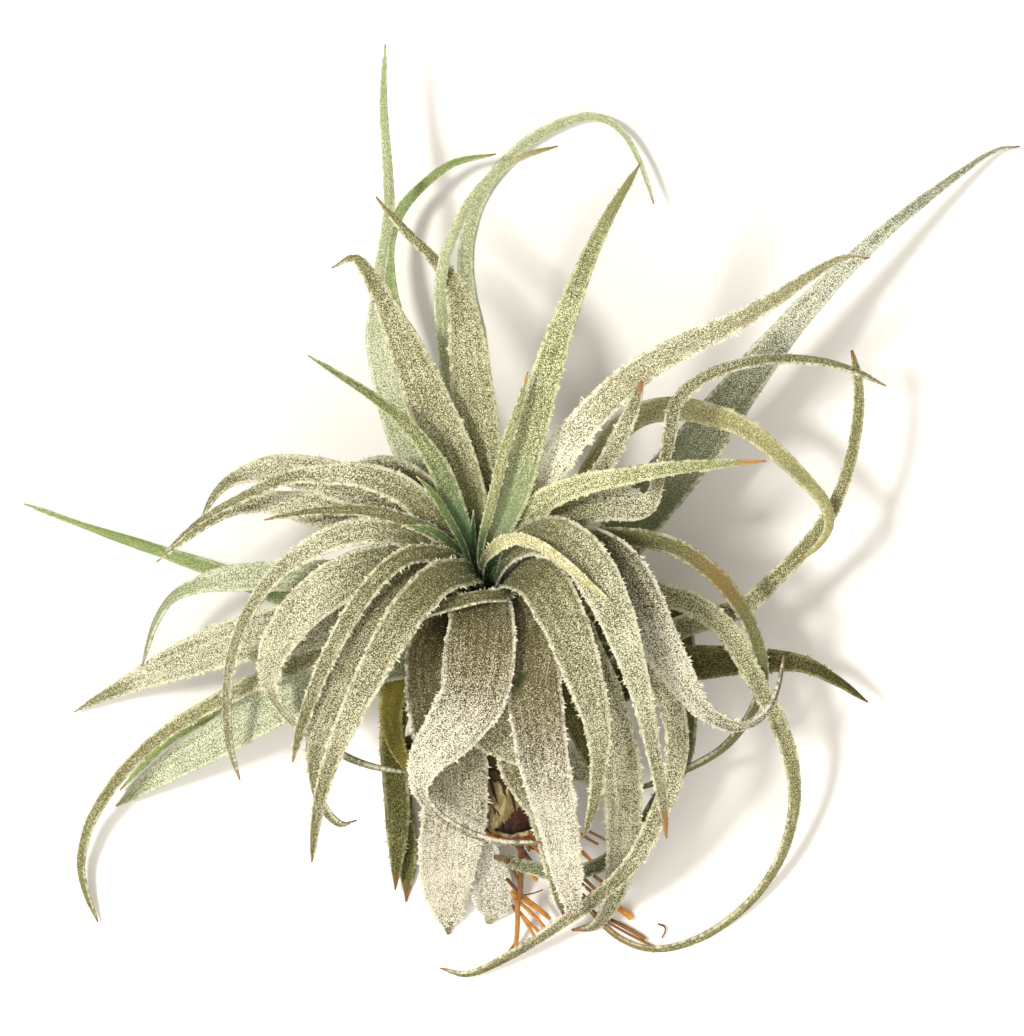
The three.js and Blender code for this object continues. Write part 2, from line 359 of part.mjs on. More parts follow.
// The wiry roots: a small crown under the stem, and a fan of bent wires that start inside it.
function rootsSolid(leafRooms) {
  const crown = new THREE.LatheGeometry(ROOT_CROWN.map(([r, s]) => new THREE.Vector2(r, s)), STEM_SIDES);
  let solid = solidOf(standOnStem(crown));
  for (let k = 0; k < ROOT_COUNT; k++) {
    const bearing = degToRad(lerp(...ROOT_FAN, (k + random()) / ROOT_COUNT));
    const reach = lerp(...ROOT_REACH, random());
    const radius = lerp(...ROOT_RADIUS, random());
    const ray = new THREE.Vector3(Math.cos(bearing), Math.sin(bearing), 0);
    const start = foot.clone().addScaledVector(stemWay, -2).addScaledVector(ray, 2 * random());
    const end = foot.clone().addScaledVector(ray, reach);
    end.z = Math.max(foot.z - reach * ROOT_FALL, radius + 0.2);
    const bend = start.clone().lerp(end, 0.5);
    bend.x += 5 * (random() - 0.5);
    bend.z = Math.max(bend.z + 4 * (random() - 0.3), radius + 0.2);
    const way = new THREE.QuadraticBezierCurve3(start, bend, end);
    const round = new THREE.Path().absarc(0, 0, radius, 0, 2 * Math.PI).getPoints(ROOT_SIDES).slice(1);
    const wire = new THREE.ExtrudeGeometry(new THREE.Shape(round), { steps: ROOT_STEPS, extrudePath: way });
    solid = solid.add(solidOf(wire));
  }
  return clearOf(solid, leafRooms);
}

const plant = new THREE.Group();
plant.name = "air_plant";

function add(name, geometry, material) {
  const mesh = new THREE.Mesh(geometry, material);
  mesh.name = name;
  plant.add(mesh);
}

const leafSkin = new THREE.MeshStandardMaterial({ color: 0xa9b096, roughness: 0.95, metalness: 0 });
const heartSkin = new THREE.MeshStandardMaterial({ color: 0x86a07c, roughness: 0.9, metalness: 0 });
const stemSkin = new THREE.MeshStandardMaterial({ color: 0x5a3420, roughness: 0.85, metalness: 0 });
const drySkin = new THREE.MeshStandardMaterial({ color: 0xb58f5e, roughness: 0.9, metalness: 0 });
const rootSkin = new THREE.MeshStandardMaterial({ color: 0xb5651d, roughness: 0.8, metalness: 0 });

// Younger leaves stand higher on the stem, and an older one is notched where a younger one fills its
// place. Gives back the room that each leaf takes.
function addLeaves() {
  const groups = {
    heart_leaf: HEART_LEAVES,
    front_leaf: FRONT_LEAVES,
    right_leaf: RIGHT_LEAVES,
    back_leaf: BACK_LEAVES,
    left_leaf: LEFT_LEAVES,
  };
  const leaves = Object.entries(groups).flatMap(([group, rows]) => {
    return rows.map((row, i) => [`${group}_${i + 1}`, row]);
  });
  leaves.sort(([, a], [, b]) => b[0] - a[0]);
  const stemRoom = solidOf(stemGeometry(FIT_GAP));
  const rooms = [];
  for (const [name, row] of leaves) {
    const solid = clearOf(leafSolid(row), [stemRoom, ...rooms]);
    rooms.push(leafSolid(row, FIT_GAP));
    add(name, geometryOf(solid), name.startsWith("heart") ? heartSkin : leafSkin);
  }
  return rooms;
}

const leafRooms = addLeaves();
add("stem", stemGeometry(), stemSkin);
add("dry_sheath", geometryOf(drySheathSolid(leafRooms)), drySkin);
add("roots", geometryOf(rootsSolid(leafRooms)), rootSkin);
plant.position.set(-MIDDLE[0], -MIDDLE[1], 0);

export default plant;
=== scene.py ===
# %% [markdown]
# # A fuzzy silver air plant
#
# An air plant is a short stem wrapped in long narrow leaves. The leaves rise from the heart, arch
# over and hang, and the oldest ones lie on the table. Everything is covered in trichomes: pale
# scale-like hairs that drink from the air. They make the plant silver, blur its outlines and give
# the margins their white fringe.
#
# The lesson goes from the plain to the fine: first the frame, the camera and the light, then one
# leaf, its coat of hairs, its skin, and then all of the leaves by the same steps. The stem, the dry
# sheath and the roots come last.
#
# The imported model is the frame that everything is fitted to, so it is loaded first. Its lengths
# are metres. The leaf routes below are in millimetres, because a leaf is measured in millimetres.

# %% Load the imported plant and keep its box
import math

import bpy
import numpy as np
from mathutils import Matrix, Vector


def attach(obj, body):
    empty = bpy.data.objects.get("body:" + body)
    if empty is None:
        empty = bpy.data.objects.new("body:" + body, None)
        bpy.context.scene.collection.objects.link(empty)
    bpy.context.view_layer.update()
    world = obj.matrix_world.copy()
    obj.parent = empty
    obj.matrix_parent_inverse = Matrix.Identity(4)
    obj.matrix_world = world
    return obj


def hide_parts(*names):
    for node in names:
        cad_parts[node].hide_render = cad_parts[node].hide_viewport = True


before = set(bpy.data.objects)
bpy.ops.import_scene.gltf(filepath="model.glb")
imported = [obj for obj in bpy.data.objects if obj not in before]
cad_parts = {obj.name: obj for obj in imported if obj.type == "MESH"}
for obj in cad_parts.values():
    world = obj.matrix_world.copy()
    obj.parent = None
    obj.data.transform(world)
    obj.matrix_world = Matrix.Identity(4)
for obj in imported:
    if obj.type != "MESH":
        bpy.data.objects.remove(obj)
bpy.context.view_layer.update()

MM = 0.001
MIDDLE = np.array([2.49, 1.72, 0.0])  # the point of the routes' plan that stands over the origin

print("nodes:", len(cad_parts))

# %% [markdown]
# ## Camera
#
# The plant is seen from straight above. A camera close by would swell the high leaves and shrink
# the ones on the table, so a long lens from three metres is used: its picture is almost a plan.
# One number sets the framing: how many millimetres the picture's long side covers at mid height.

# %% The camera looks straight down through a long lens
CAMERA_ABOVE = 3.0  # metres over the table
MID_HEIGHT = 0.045  # metres: the height at which the framing holds
FRAME_TALL = 0.259  # metres that the picture's long side covers there
SENSOR = 36.0  # millimetres, along the picture's long side

bpy.ops.object.camera_add(
    location=(-MIDDLE[0] * MM, -MIDDLE[1] * MM, CAMERA_ABOVE), rotation=(0, 0, 0)
)
camera = bpy.context.object
camera.name = "camera_above"
camera.data.sensor_fit = "AUTO"
camera.data.sensor_width = SENSOR
camera.data.lens = SENSOR * (CAMERA_ABOVE - MID_HEIGHT) / FRAME_TALL
bpy.context.scene.camera = camera
print("lens in mm:", round(camera.data.lens, 1))

# %% [markdown]
# ## Light
#
# The plant lies in bright studio light. A lamp on the left, rather small, throws the clear shadows
# to the right of the plant. A very broad one over the lower edge, as wide as a window, and a faint
# sky fill them again, and together they burn out the table to white, so shadows stay only close
# to the plant. The angle of a sun lamp is how wide it looks, and it sets how soft a shadow is.

# %% A key light, a broad fill and a faint sky
SUNS = {
    # bearing from +X and height over the table in degrees, breadth in degrees, strength
    "key_from_the_left": (172, 68, 7, 2.15),
    "broad_fill_from_the_front": (252, 64, 55, 1.9),
}
SUN_COLOUR = (1.0, 0.975, 0.93)
SKY_COLOUR = (1.0, 0.97, 0.91, 1.0)
SKY_POWER = 0.38

for sun_name, (bearing, height, breadth, power) in SUNS.items():
    out = math.cos(math.radians(height))
    east, north = math.cos(math.radians(bearing)) * out, math.sin(math.radians(bearing)) * out
    sun_from = Vector((east, north, math.sin(math.radians(height))))
    bpy.ops.object.light_add(type="SUN", location=sun_from)
    sun = bpy.context.object
    sun.name = sun_name
    sun.rotation_euler = sun_from.to_track_quat("Z", "Y").to_euler()
    sun.data.energy = power
    sun.data.angle = math.radians(breadth)
    sun.data.color = SUN_COLOUR
    print(sun_name, "from", [round(a, 2) for a in sun_from])

sky = bpy.data.worlds.new("white_studio")
bpy.context.scene.world = sky
sky.use_nodes = True
sky.node_tree.nodes["Background"].inputs["Color"].default_value = SKY_COLOUR
sky.node_tree.nodes["Background"].inputs["Strength"].default_value = SKY_POWER
bpy.context.scene.view_settings.view_transform = "Standard"

# %% [markdown]
# ## Helpers for materials
#
# Colours are picked as on a paint card, by their sRGB hex value, but the renderer wants linear
# light, so one function turns the one into the other. A second one adds a node to a material: its
# settings by name, and for each input socket either a value or the socket that feeds it. A third
# paints as nature does, in layers: a ground first, and over it tints that come and go with
# something that can be measured, such as the distance from the root.


# %% Hex colours and nodes
def linear(hex_code):
    """A colour card's hex value as linear red, green, blue and alpha."""
    parts = [int(hex_code[i : i + 2], 16) / 255 for i in (1, 3, 5)]
    light = [p / 12.92 if p <= 0.04045 else ((p + 0.055) / 1.055) ** 2.4 for p in parts]
    return (*light, 1.0)


def add(tree, kind, inputs=None, **settings):
    """Adds one node with its settings, and links or sets its input sockets."""
    made = tree.nodes.new(kind)
    for name, value in settings.items():
        setattr(made, name, value)
    for socket, value in (inputs or {}).items():
        if isinstance(value, bpy.types.NodeSocket):
            tree.links.new(value, made.inputs[socket])
        else:
            made.inputs[socket].default_value = value
    return made


MIX_SHARE, MIX_A, MIX_B, MIX_OUT = 0, 6, 7, 2  # the sockets of a Mix node that mixes colours


def layered(tree, colour, layers, fade="SMOOTHSTEP"):
    """A ground colour under layers of tint. Each layer's row says what it follows, between which
    two values of that, how strong it is at the one and at the other, and its tint."""
    colour = linear(colour) if isinstance(colour, str) else colour
    for measure, low, high, at_low, at_high, tint in layers:
        ends = {"From Min": low, "From Max": high, "To Min": at_low, "To Max": at_high}
        share = add(tree, "ShaderNodeMapRange", {"Value": measure, **ends}, interpolation_type=fade)
        tint = linear(tint) if isinstance(tint, str) else tint
        mixed = {MIX_SHARE: share.outputs[0], MIX_A: colour, MIX_B: tint}
        colour = add(tree, "ShaderNodeMix", mixed, data_type="RGBA").outputs[MIX_OUT]
    return colour


def new_finish(name):
    """An empty material, its node tree and its shader."""
    finish = bpy.data.materials.new(name)
    finish.use_nodes = True
    return finish, finish.node_tree, finish.node_tree.nodes["Principled BSDF"]


print("white as linear light:", linear("#ffffff"))

# %% [markdown]
# ## The table
#
# A sheet of matt white card: it only has to catch the shadows. It is far wider than the plant, so
# that its edge never shows. A faint mottling keeps it from being one flat colour.

# %% A matt white card under the plant
CARD_SIZE = 8.0  # metres
CARD_MOTTLE_MM = 30
CARD_WHITE, CARD_SHADE = "#faf7f2", "#f4f0eb"

bpy.ops.object.select_all(action="DESELECT")
bpy.ops.mesh.primitive_grid_add(x_subdivisions=8, y_subdivisions=8, size=CARD_SIZE)
card = bpy.context.object
card.name = "white_card"
card_finish, tree, shader = new_finish("matt_white_card")
where = add(tree, "ShaderNodeTexCoord")
pattern = {"Vector": where.outputs["Object"], "Scale": 1 / (CARD_MOTTLE_MM * MM), "Detail": 3.0}
mottle = add(tree, "ShaderNodeTexNoise", pattern).outputs[0]
card_colour = layered(tree, CARD_WHITE, [(mottle, 0, 1, 0, 1, CARD_SHADE)], "LINEAR")
tree.links.new(card_colour, shader.inputs["Base Color"])
shader.inputs["Roughness"].default_value = 0.9
shader.inputs["Specular IOR Level"].default_value = 0.2
card.data.materials.append(card_finish)
print("card:", CARD_SIZE, "m wide")

# %% [markdown]
# ## Where each leaf goes
#
# A leaf is a row: how far up the stem it leaves, then the points its rib passes through, each with
# the leaf's width there, all in millimetres. A last number, where there is one, turns the blade
# about its rib. The first number of a row counts from the root end of the stem. The leaves are
# listed by the side that they fall to, from the youngest in the heart to the oldest on the table.
# They are numbers read off the plant, because no rule of growth knows which way a leaf
# curled.

# %% The leaves of the heart

HEART_LEAVES = [
    [74, [[-9.5, -5.9, 84, 1.6], [-9.5, 2, 91, 0.8]]],
    [71, [[-12.3, -9.9, 83.5, 2], [-16.2, -5.4, 90, 2.4], [-20.6, -2.5, 95, 1.8],
     [-27, -1.8, 97, 0.8]]],
    [72, [[-11.8, -7.4, 88, 1.6], [-16.2, 1, 96, 2], [-19.6, 6.4, 100.5, 1.6],
     [-23.5, 10.3, 103, 0.8]]],
    [68, [[-10.9, -5.4, 84.5, 3.4], [-14.3, 3, 92, 5.5], [-17.7, 11.8, 98, 5.2],
     [-24, 21.1, 102.5, 3.6], [-33.3, 29.2, 104, 2.4], [-50.1, 39.9, 100, 0.8]]],
    [72, [[-7.6, -6.9, 87, 1.8], [-4.9, 3.9, 97, 2.6], [-1.5, 17.6, 104, 2.6], [1.5, 26.4, 106, 2],
     [3.9, 35.9, 108, 0.8]]],
    [67, [[-4.4, -5.9, 85, 6], [0, 5.9, 92, 8.5], [3.9, 19.6, 98, 8.8], [7.8, 33.4, 101, 7.5],
     [12.3, 47.1, 102, 6], [18.7, 63.8, 99, 4], [24.6, 75.7, 95, 2.6], [31.5, 87.2, 89, 1]]],
    [69, [[-6.9, -10.9, 85, 2.6], [-3.4, -6.9, 93, 3], [1, -5.1, 99, 3], [6.9, -6.7, 104, 2.8],
     [13.7, -11.5, 106, 2.4], [19.6, -16.7, 104.5, 1.7], [24.5, -20.6, 103, 0.8]]],
]

# %% The leaves that hang over the front
FRONT_LEAVES = [
    [65, [[-9.4, -14.3, 84, 6], [-12.8, -13.8, 93, 7.6], [-18.2, -15.2, 100, 8.6], [-25, -22, 105, 8.8],
     [-31.4, -32.3, 105, 8], [-37.3, -43.7, 100, 6.6], [-42.3, -54.1, 92, 5], [-46.4, -65.2, 81, 3.6],
     [-48.6, -75.4, 70, 2.5], [-49.8, -85.6, 59, 1]]],
    [62, [[-12.8, -11.8, 85, 3.8], [-18.7, -8.9, 93, 4.4], [-25.5, -9.3, 98, 4.6],
     [-32.4, -14.2, 101, 4.6], [-38.8, -22.6, 99, 4.4], [-44.3, -32.5, 93.5, 4],
     [-48.8, -42.4, 86, 3.3], [-52.4, -52.4, 76, 2.3], [-54.4, -60.5, 68, 0.9]]],
    [55, [[-12.8, -16.8, 80, 6], [-19.7, -14.8, 88, 8], [-27.5, -16.7, 93, 9.4], [-34.9, -24.6, 93, 10],
     [-40.4, -35.5, 87, 10], [-45, -46.5, 79, 8.6], [-48.6, -56.5, 69, 5], [-49, -64.7, 60, 3],
     [-47.2, -71.8, 53, 2.6], [-43, -76.4, 48, 2.2], [-38.8, -75.5, 45, 0.9]]],
    [60, [[-1.5, -18.3, 83.5, 3.4], [-2.5, -19.5, 92, 4.2], [-7.9, -19.7, 96, 4.6],
     [-14.2, -21.2, 97, 4.6], [-19.5, -22.8, 96, 3.6], [-22.8, -24.9, 94, 2.2],
     [-26, -28.5, 90, 1]], [50]],
    [57, [[-2, -17.3, 80, 7], [2, -14.3, 90.5, 10], [7.4, -16, 98.5, 12], [12.3, -24.5, 102, 11.6],
     [16.4, -35.3, 100, 10], [20.2, -47.2, 94, 7.4], [21.5, -56.2, 86, 5.4], [21, -64.5, 77.5, 3.8],
     [19.8, -72.3, 70, 2.4], [17.6, -79.5, 64, 1]]],
    [50, [[-6.9, -21.7, 84, 10], [-7.2, -22.6, 92, 14.5], [-7.3, -30.5, 97, 17.5],
     [-8.7, -41.3, 95, 16.5], [-14.3, -51.2, 88, 14], [-20.8, -59.3, 79, 9], [-22.8, -66.9, 71, 4.6],
     [-18.9, -73, 66, 2.8], [-11.9, -77.6, 62, 2.4], [-3, -80.6, 59, 2.1], [8, -80.7, 57, 1.2]]],
    [45, [[0, -20.8, 80, 8], [3.4, -21.7, 89, 9.5], [5.4, -30.5, 94, 12], [5.7, -42.3, 93, 13.4],
     [6.9, -54.2, 87, 13.2], [9.4, -66.3, 77, 11.5], [11.9, -78.5, 62, 9.5], [14, -90, 46, 7],
     [15.6, -100.5, 30, 2.5]]],
    [38, [[-11.9, -27.8, 68, 8], [-17.3, -26.7, 78, 10], [-20.7, -33.6, 82, 11], [-19.8, -45.5, 77, 13],
     [-15.5, -57.6, 66, 16.8], [-14.5, -69.8, 52, 16.6], [-15.9, -81.3, 35, 16],
     [-16.5, -91.9, 17, 12.5], [-16.2, -100.4, 4, 7], [-16.2, -105.6, 0.4, 2]]],
    [33, [[-7, -33.8, 62, 8], [-9.9, -37.7, 68, 9.4], [-11.6, -46.7, 66, 9.6], [-11.9, -62, 52, 10.2],
     [-8.9, -80.5, 28, 9.6], [-5.6, -91.5, 12.5, 11.4], [-5, -98.6, 4, 8.4], [-6, -102.8, 1, 4]]],
    [30, [[-1.5, -37, 62, 8], [-0.5, -44, 67, 9.5], [0.5, -53, 65, 10], [2, -62.5, 59, 9.5],
     [7, -71.5, 50.5, 7.5], [9, -80, 40, 6], [10.8, -91, 27, 3.8], [13.2, -101, 15, 1]]],
    [36, [[5.9, -23.8, 74, 6], [9.2, -29.6, 80.5, 7.5], [12.8, -41.5, 79, 8], [17.8, -52.5, 74, 7.4],
     [21, -63, 66, 3.6]]],
    [31, [[8.9, -25.8, 66, 7], [14.8, -25.7, 75, 7.6], [18.9, -32.6, 78, 7], [23, -43.5, 75, 8.2],
     [26.2, -56.6, 66, 9.6], [27.5, -69.8, 52, 9.8], [27.6, -83.3, 34, 8.2], [25.8, -94.9, 16, 5.4],
     [21.3, -102.9, 5, 3.6], [15.2, -104.5, 2, 1.8]]],
    [41, [[-8.5, -27, 76, 8], [-11, -31, 84, 9.5], [-11.5, -41, 84.5, 12], [-6, -50.5, 79, 13],
     [4, -56, 71, 12], [13.5, -60.5, 61, 9.5], [21, -64, 52, 5], [27, -66.5, 46, 1.5]]],
]

# %% The leaves of the right side
RIGHT_LEAVES = [
    [65, [[-4.2, -8.4, 80, 3.6], [0.5, -2.2, 86, 5], [7.4, 3.9, 91.5, 6], [15.7, 7.9, 96, 5.5],
     [27.5, 10.3, 98, 4.6], [41.3, 12.5, 97.5, 3.2], [62.5, 14, 92, 0.9]]],
    [63, [[-2, -11.3, 84, 7], [3.9, -5.7, 93, 9], [10.8, -5.2, 99, 11], [17.7, -9.8, 101.5, 11],
     [23.5, -19.6, 101, 10], [28.2, -31.4, 97, 7.4], [32, -44.3, 90, 5.3], [34.9, -57.3, 80, 3.7],
     [37, -68.4, 70, 2.6], [38.5, -79.6, 60, 1]]],
    [54, [[6.9, -13.8, 80, 8], [16.3, -7.4, 88, 10], [24.6, -9.8, 91, 11], [30.5, -17.7, 89, 11],
     [35.5, -28.6, 83, 10], [41.6, -39.6, 75, 7.5], [47.6, -47.6, 67, 5], [55.7, -51.7, 60, 3.5],
     [62.8, -48.8, 56, 2.6], [66.3, -41.8, 56, 1.6], [67.7, -33.9, 58, 0.8]]],
    [46, [[4, -5.9, 75, 7], [11.9, 0.5, 81, 8.5], [21.7, 3.3, 83, 9], [30.2, 3, 81.5, 8.2],
     [34, 4, 80.5, 5], [36, 8.5, 80, 3], [37.6, 14, 79.5, 2.8], [39, 20.5, 79, 3.3],
     [40, 27.2, 78, 3.4], [44.5, 32.7, 76, 3.2], [52.5, 36.9, 73, 2.9], [63.5, 39.3, 69, 2.6],
     [75.5, 39, 64, 2.2], [84.6, 36.8, 60, 1.7], [93.2, 32.9, 56, 0.8]]],
    [36, [[10.9, -14.9, 65, 5], [19.8, -5.9, 71.5, 5], [29.7, -4.8, 73.5, 4.8], [39.6, -6.9, 72, 4.6],
     [47.6, -11.7, 68.5, 4.4], [54.7, -18.9, 62.5, 4.1], [59.8, -27.9, 54, 3.8], [62.5, -38, 45, 3.6],
     [61.2, -46.1, 37.5, 3.2], [56.3, -54.3, 31, 3], [49.3, -60.4, 26, 2.8], [34.3, -67.4, 19, 1.8],
     [26.2, -68.6, 17, 0.9]]],
    [22, [[17.9, -26.9, 54, 6], [28.9, -19.4, 58.5, 6.2], [37.8, -18.9, 59, 6], [47.8, -22.9, 56, 5.8],
     [54.9, -29.9, 52, 5.5], [60.5, -40, 46, 5], [66.2, -50.1, 38, 4.4], [70.4, -62.4, 28, 3.6],
     [70.9, -74.7, 18, 3], [67.3, -87, 10, 2.6], [59.8, -97.8, 4, 2.3], [48.7, -106.1, 0.5, 2.1],
     [36.5, -109.4, 0.4, 1.8], [26.4, -106.1, 1, 1.4], [17.8, -97.4, 2.5, 0.8]]],
    [29, [[13.9, -30.8, 62, 6], [23.8, -27.3, 70, 8], [30.7, -31.7, 70.5, 8], [37.2, -40.7, 66.5, 7],
     [40.8, -51.7, 61, 6], [40.4, -62.8, 54, 5.4], [36.5, -73.9, 47, 5], [30.1, -86.2, 37, 4.6],
     [21.1, -95.4, 27, 4], [10.1, -103.7, 16, 3.2], [-1, -111, 8, 2.4], [-11.2, -115.6, 4, 1.7],
     [-18.3, -114.1, 3, 0.8]]],
    [18, [[17.1, -40.2, 30, 6], [31.2, -23.1, 27, 6], [41.3, -25.2, 25, 5.5], [44, -35.2, 24, 4.8],
     [44.4, -47.3, 23, 4.6], [43, -60.4, 23, 4.4], [36.3, -72.5, 24, 4.2], [28.2, -83.5, 26, 3.8],
     [16.1, -89.2, 29, 3.6], [5, -88, 28.5, 3.6], [-4.5, -85.2, 25, 2.8]]],
    [22, [[16, -46, 44, 8], [40, -37.5, 43, 9], [50.1, -36, 41, 8], [70.4, -36.2, 30, 4.8],
     [80.6, -40.3, 23, 2.8], [89.9, -46.5, 15, 0.9]]],
    [13, [[14.1, -49.3, 26, 6], [38.2, -29.6, 31, 6], [57.2, -22.6, 34.5, 4.8], [66.2, -15, 36, 4.2],
     [74.2, -6.5, 37, 3.6], [80.7, 3, 37.5, 3.2], [84.7, 14, 38, 2.8], [86.8, 26.1, 38, 2.6],
     [86.7, 35.1, 37.5, 2.2], [85.2, 42.1, 37, 1.6]]],
]

# %% The leaves of the back
BACK_LEAVES = [
    [58, [[1, -3.9, 82, 7], [6.9, 7.9, 87, 8.5], [13.8, 18.7, 90, 8.2], [21.7, 27.6, 91, 7.6],
     [30.5, 35.4, 91, 7], [40.4, 41.4, 89, 6.2], [51.3, 46.6, 86, 5.2], [62.2, 52.3, 82, 4],
     [80.2, 63.7, 73, 1.9], [88.7, 64.5, 70, 0.8]]],
    [44, [[7.9, -4, 72, 5], [17.8, 5.9, 77, 4.6], [23.4, 13.8, 84, 4.6], [27.4, 21.7, 90, 4.2],
     [30.3, 28.5, 94.5, 3.2], [32, 33.6, 96, 2.2]]],
    [32, [[4, -26, 50, 7], [14, -4, 54, 7], [20.9, 13, 56, 6.4], [28.9, 23.9, 56.5, 6],
     [38.4, 27.1, 56, 6], [49.8, 25.6, 54, 5.6], [60.9, 20.5, 51, 4.8], [76, 6.5, 46, 3.2],
     [79.3, -0.5, 44, 2.6], [77.1, -6.2, 42.5, 1.8], [71.6, -11, 41, 0.8]]],
    [20, [[6, -38.2, 30, 9], [18.1, -18.1, 26, 12], [32.2, 1, 27, 13], [48, 20.2, 31.5, 11.8],
     [62.2, 39.1, 34, 8.4], [74.3, 53.2, 32, 6], [88.6, 67.4, 26, 4], [101.9, 78.7, 18, 2.8],
     [120.6, 92.2, 6, 1.2], [128.8, 94.3, 3, 0.8]]],
    [55, [[-5.9, -3, 74.5, 6], [-7.4, 9.9, 80, 9.5], [-8.9, 23.7, 82.5, 11], [-10.4, 37.5, 82.5, 10],
     [-11.7, 48.4, 80, 8], [-14.4, 57.4, 75, 5], [-18.8, 63.4, 71, 3], [-25.3, 70, 68, 2.3],
     [-30.3, 75.5, 66, 1.6], [-33.8, 79.8, 65, 0.8]]],
    [59, [[-9.4, -4.9, 79.5, 7], [-11.8, 4.9, 84, 10.5], [-15.8, 16.7, 88.5, 12],
     [-25.1, 39.4, 90.5, 9], [-30.1, 50.3, 88, 6], [-35, 59.7, 84, 3.6], [-39, 64.2, 81, 2],
     [-44.5, 61.8, 79, 0.8]]],
    [46, [[-7.9, -4, 70, 4.4], [-14.9, 29.7, 70, 3.8], [-16.8, 42.6, 72, 3.4], [-17.8, 53.5, 75, 3],
     [-17.1, 62.3, 77, 2.7], [-14.3, 70.7, 77, 2.5], [-9.9, 79.2, 76, 2.3], [-3.5, 85.7, 74, 2],
     [3.5, 89.9, 72, 1.5], [11.4, 92.2, 70, 0.8]]],
    [12, [[-6.1, -30.3, 20, 7], [-9.1, -5.1, 9, 7], [-9.6, 42.6, 2, 5], [-11.5, 57.9, 0.5, 4],
     [-11.5, 70, 0.4, 3.6], [-8.1, 81.2, 0.8, 3.3], [-1.5, 90.3, 2, 3], [7.1, 97.3, 3.5, 2.6],
     [18.2, 101.7, 5, 2], [26.3, 99.3, 7, 1.6], [31.9, 91.1, 9, 1.3], [35.9, 79.4, 11, 0.8]]],
    [38, [[-13.9, -11.9, 58, 7], [-20.9, 6, 58, 8], [-26.9, 19.9, 56, 8], [-30.9, 31.9, 53, 7],
     [-33.7, 43.9, 49, 5.5], [-33.6, 55, 45, 3.6], [-32.2, 67.1, 41, 2.8], [-30.8, 79.2, 37, 2.6],
     [-32.3, 103.5, 30, 2], [-31.9, 119.2, 27, 0.8]]],
    [26, [[-14, -18, 38, 7], [-20.1, 8, 32, 7.5], [-25.2, 30.2, 27, 7], [-28.7, 46.3, 23, 5.5],
     [-31.3, 58.5, 20, 4.4], [-31.3, 68.6, 18, 3.4], [-28.3, 77.3, 16, 2.8], [-22.2, 84.3, 15, 2.3],
     [-14.7, 89.7, 14, 1.8], [-4, 92, 13, 0.8]]],
]

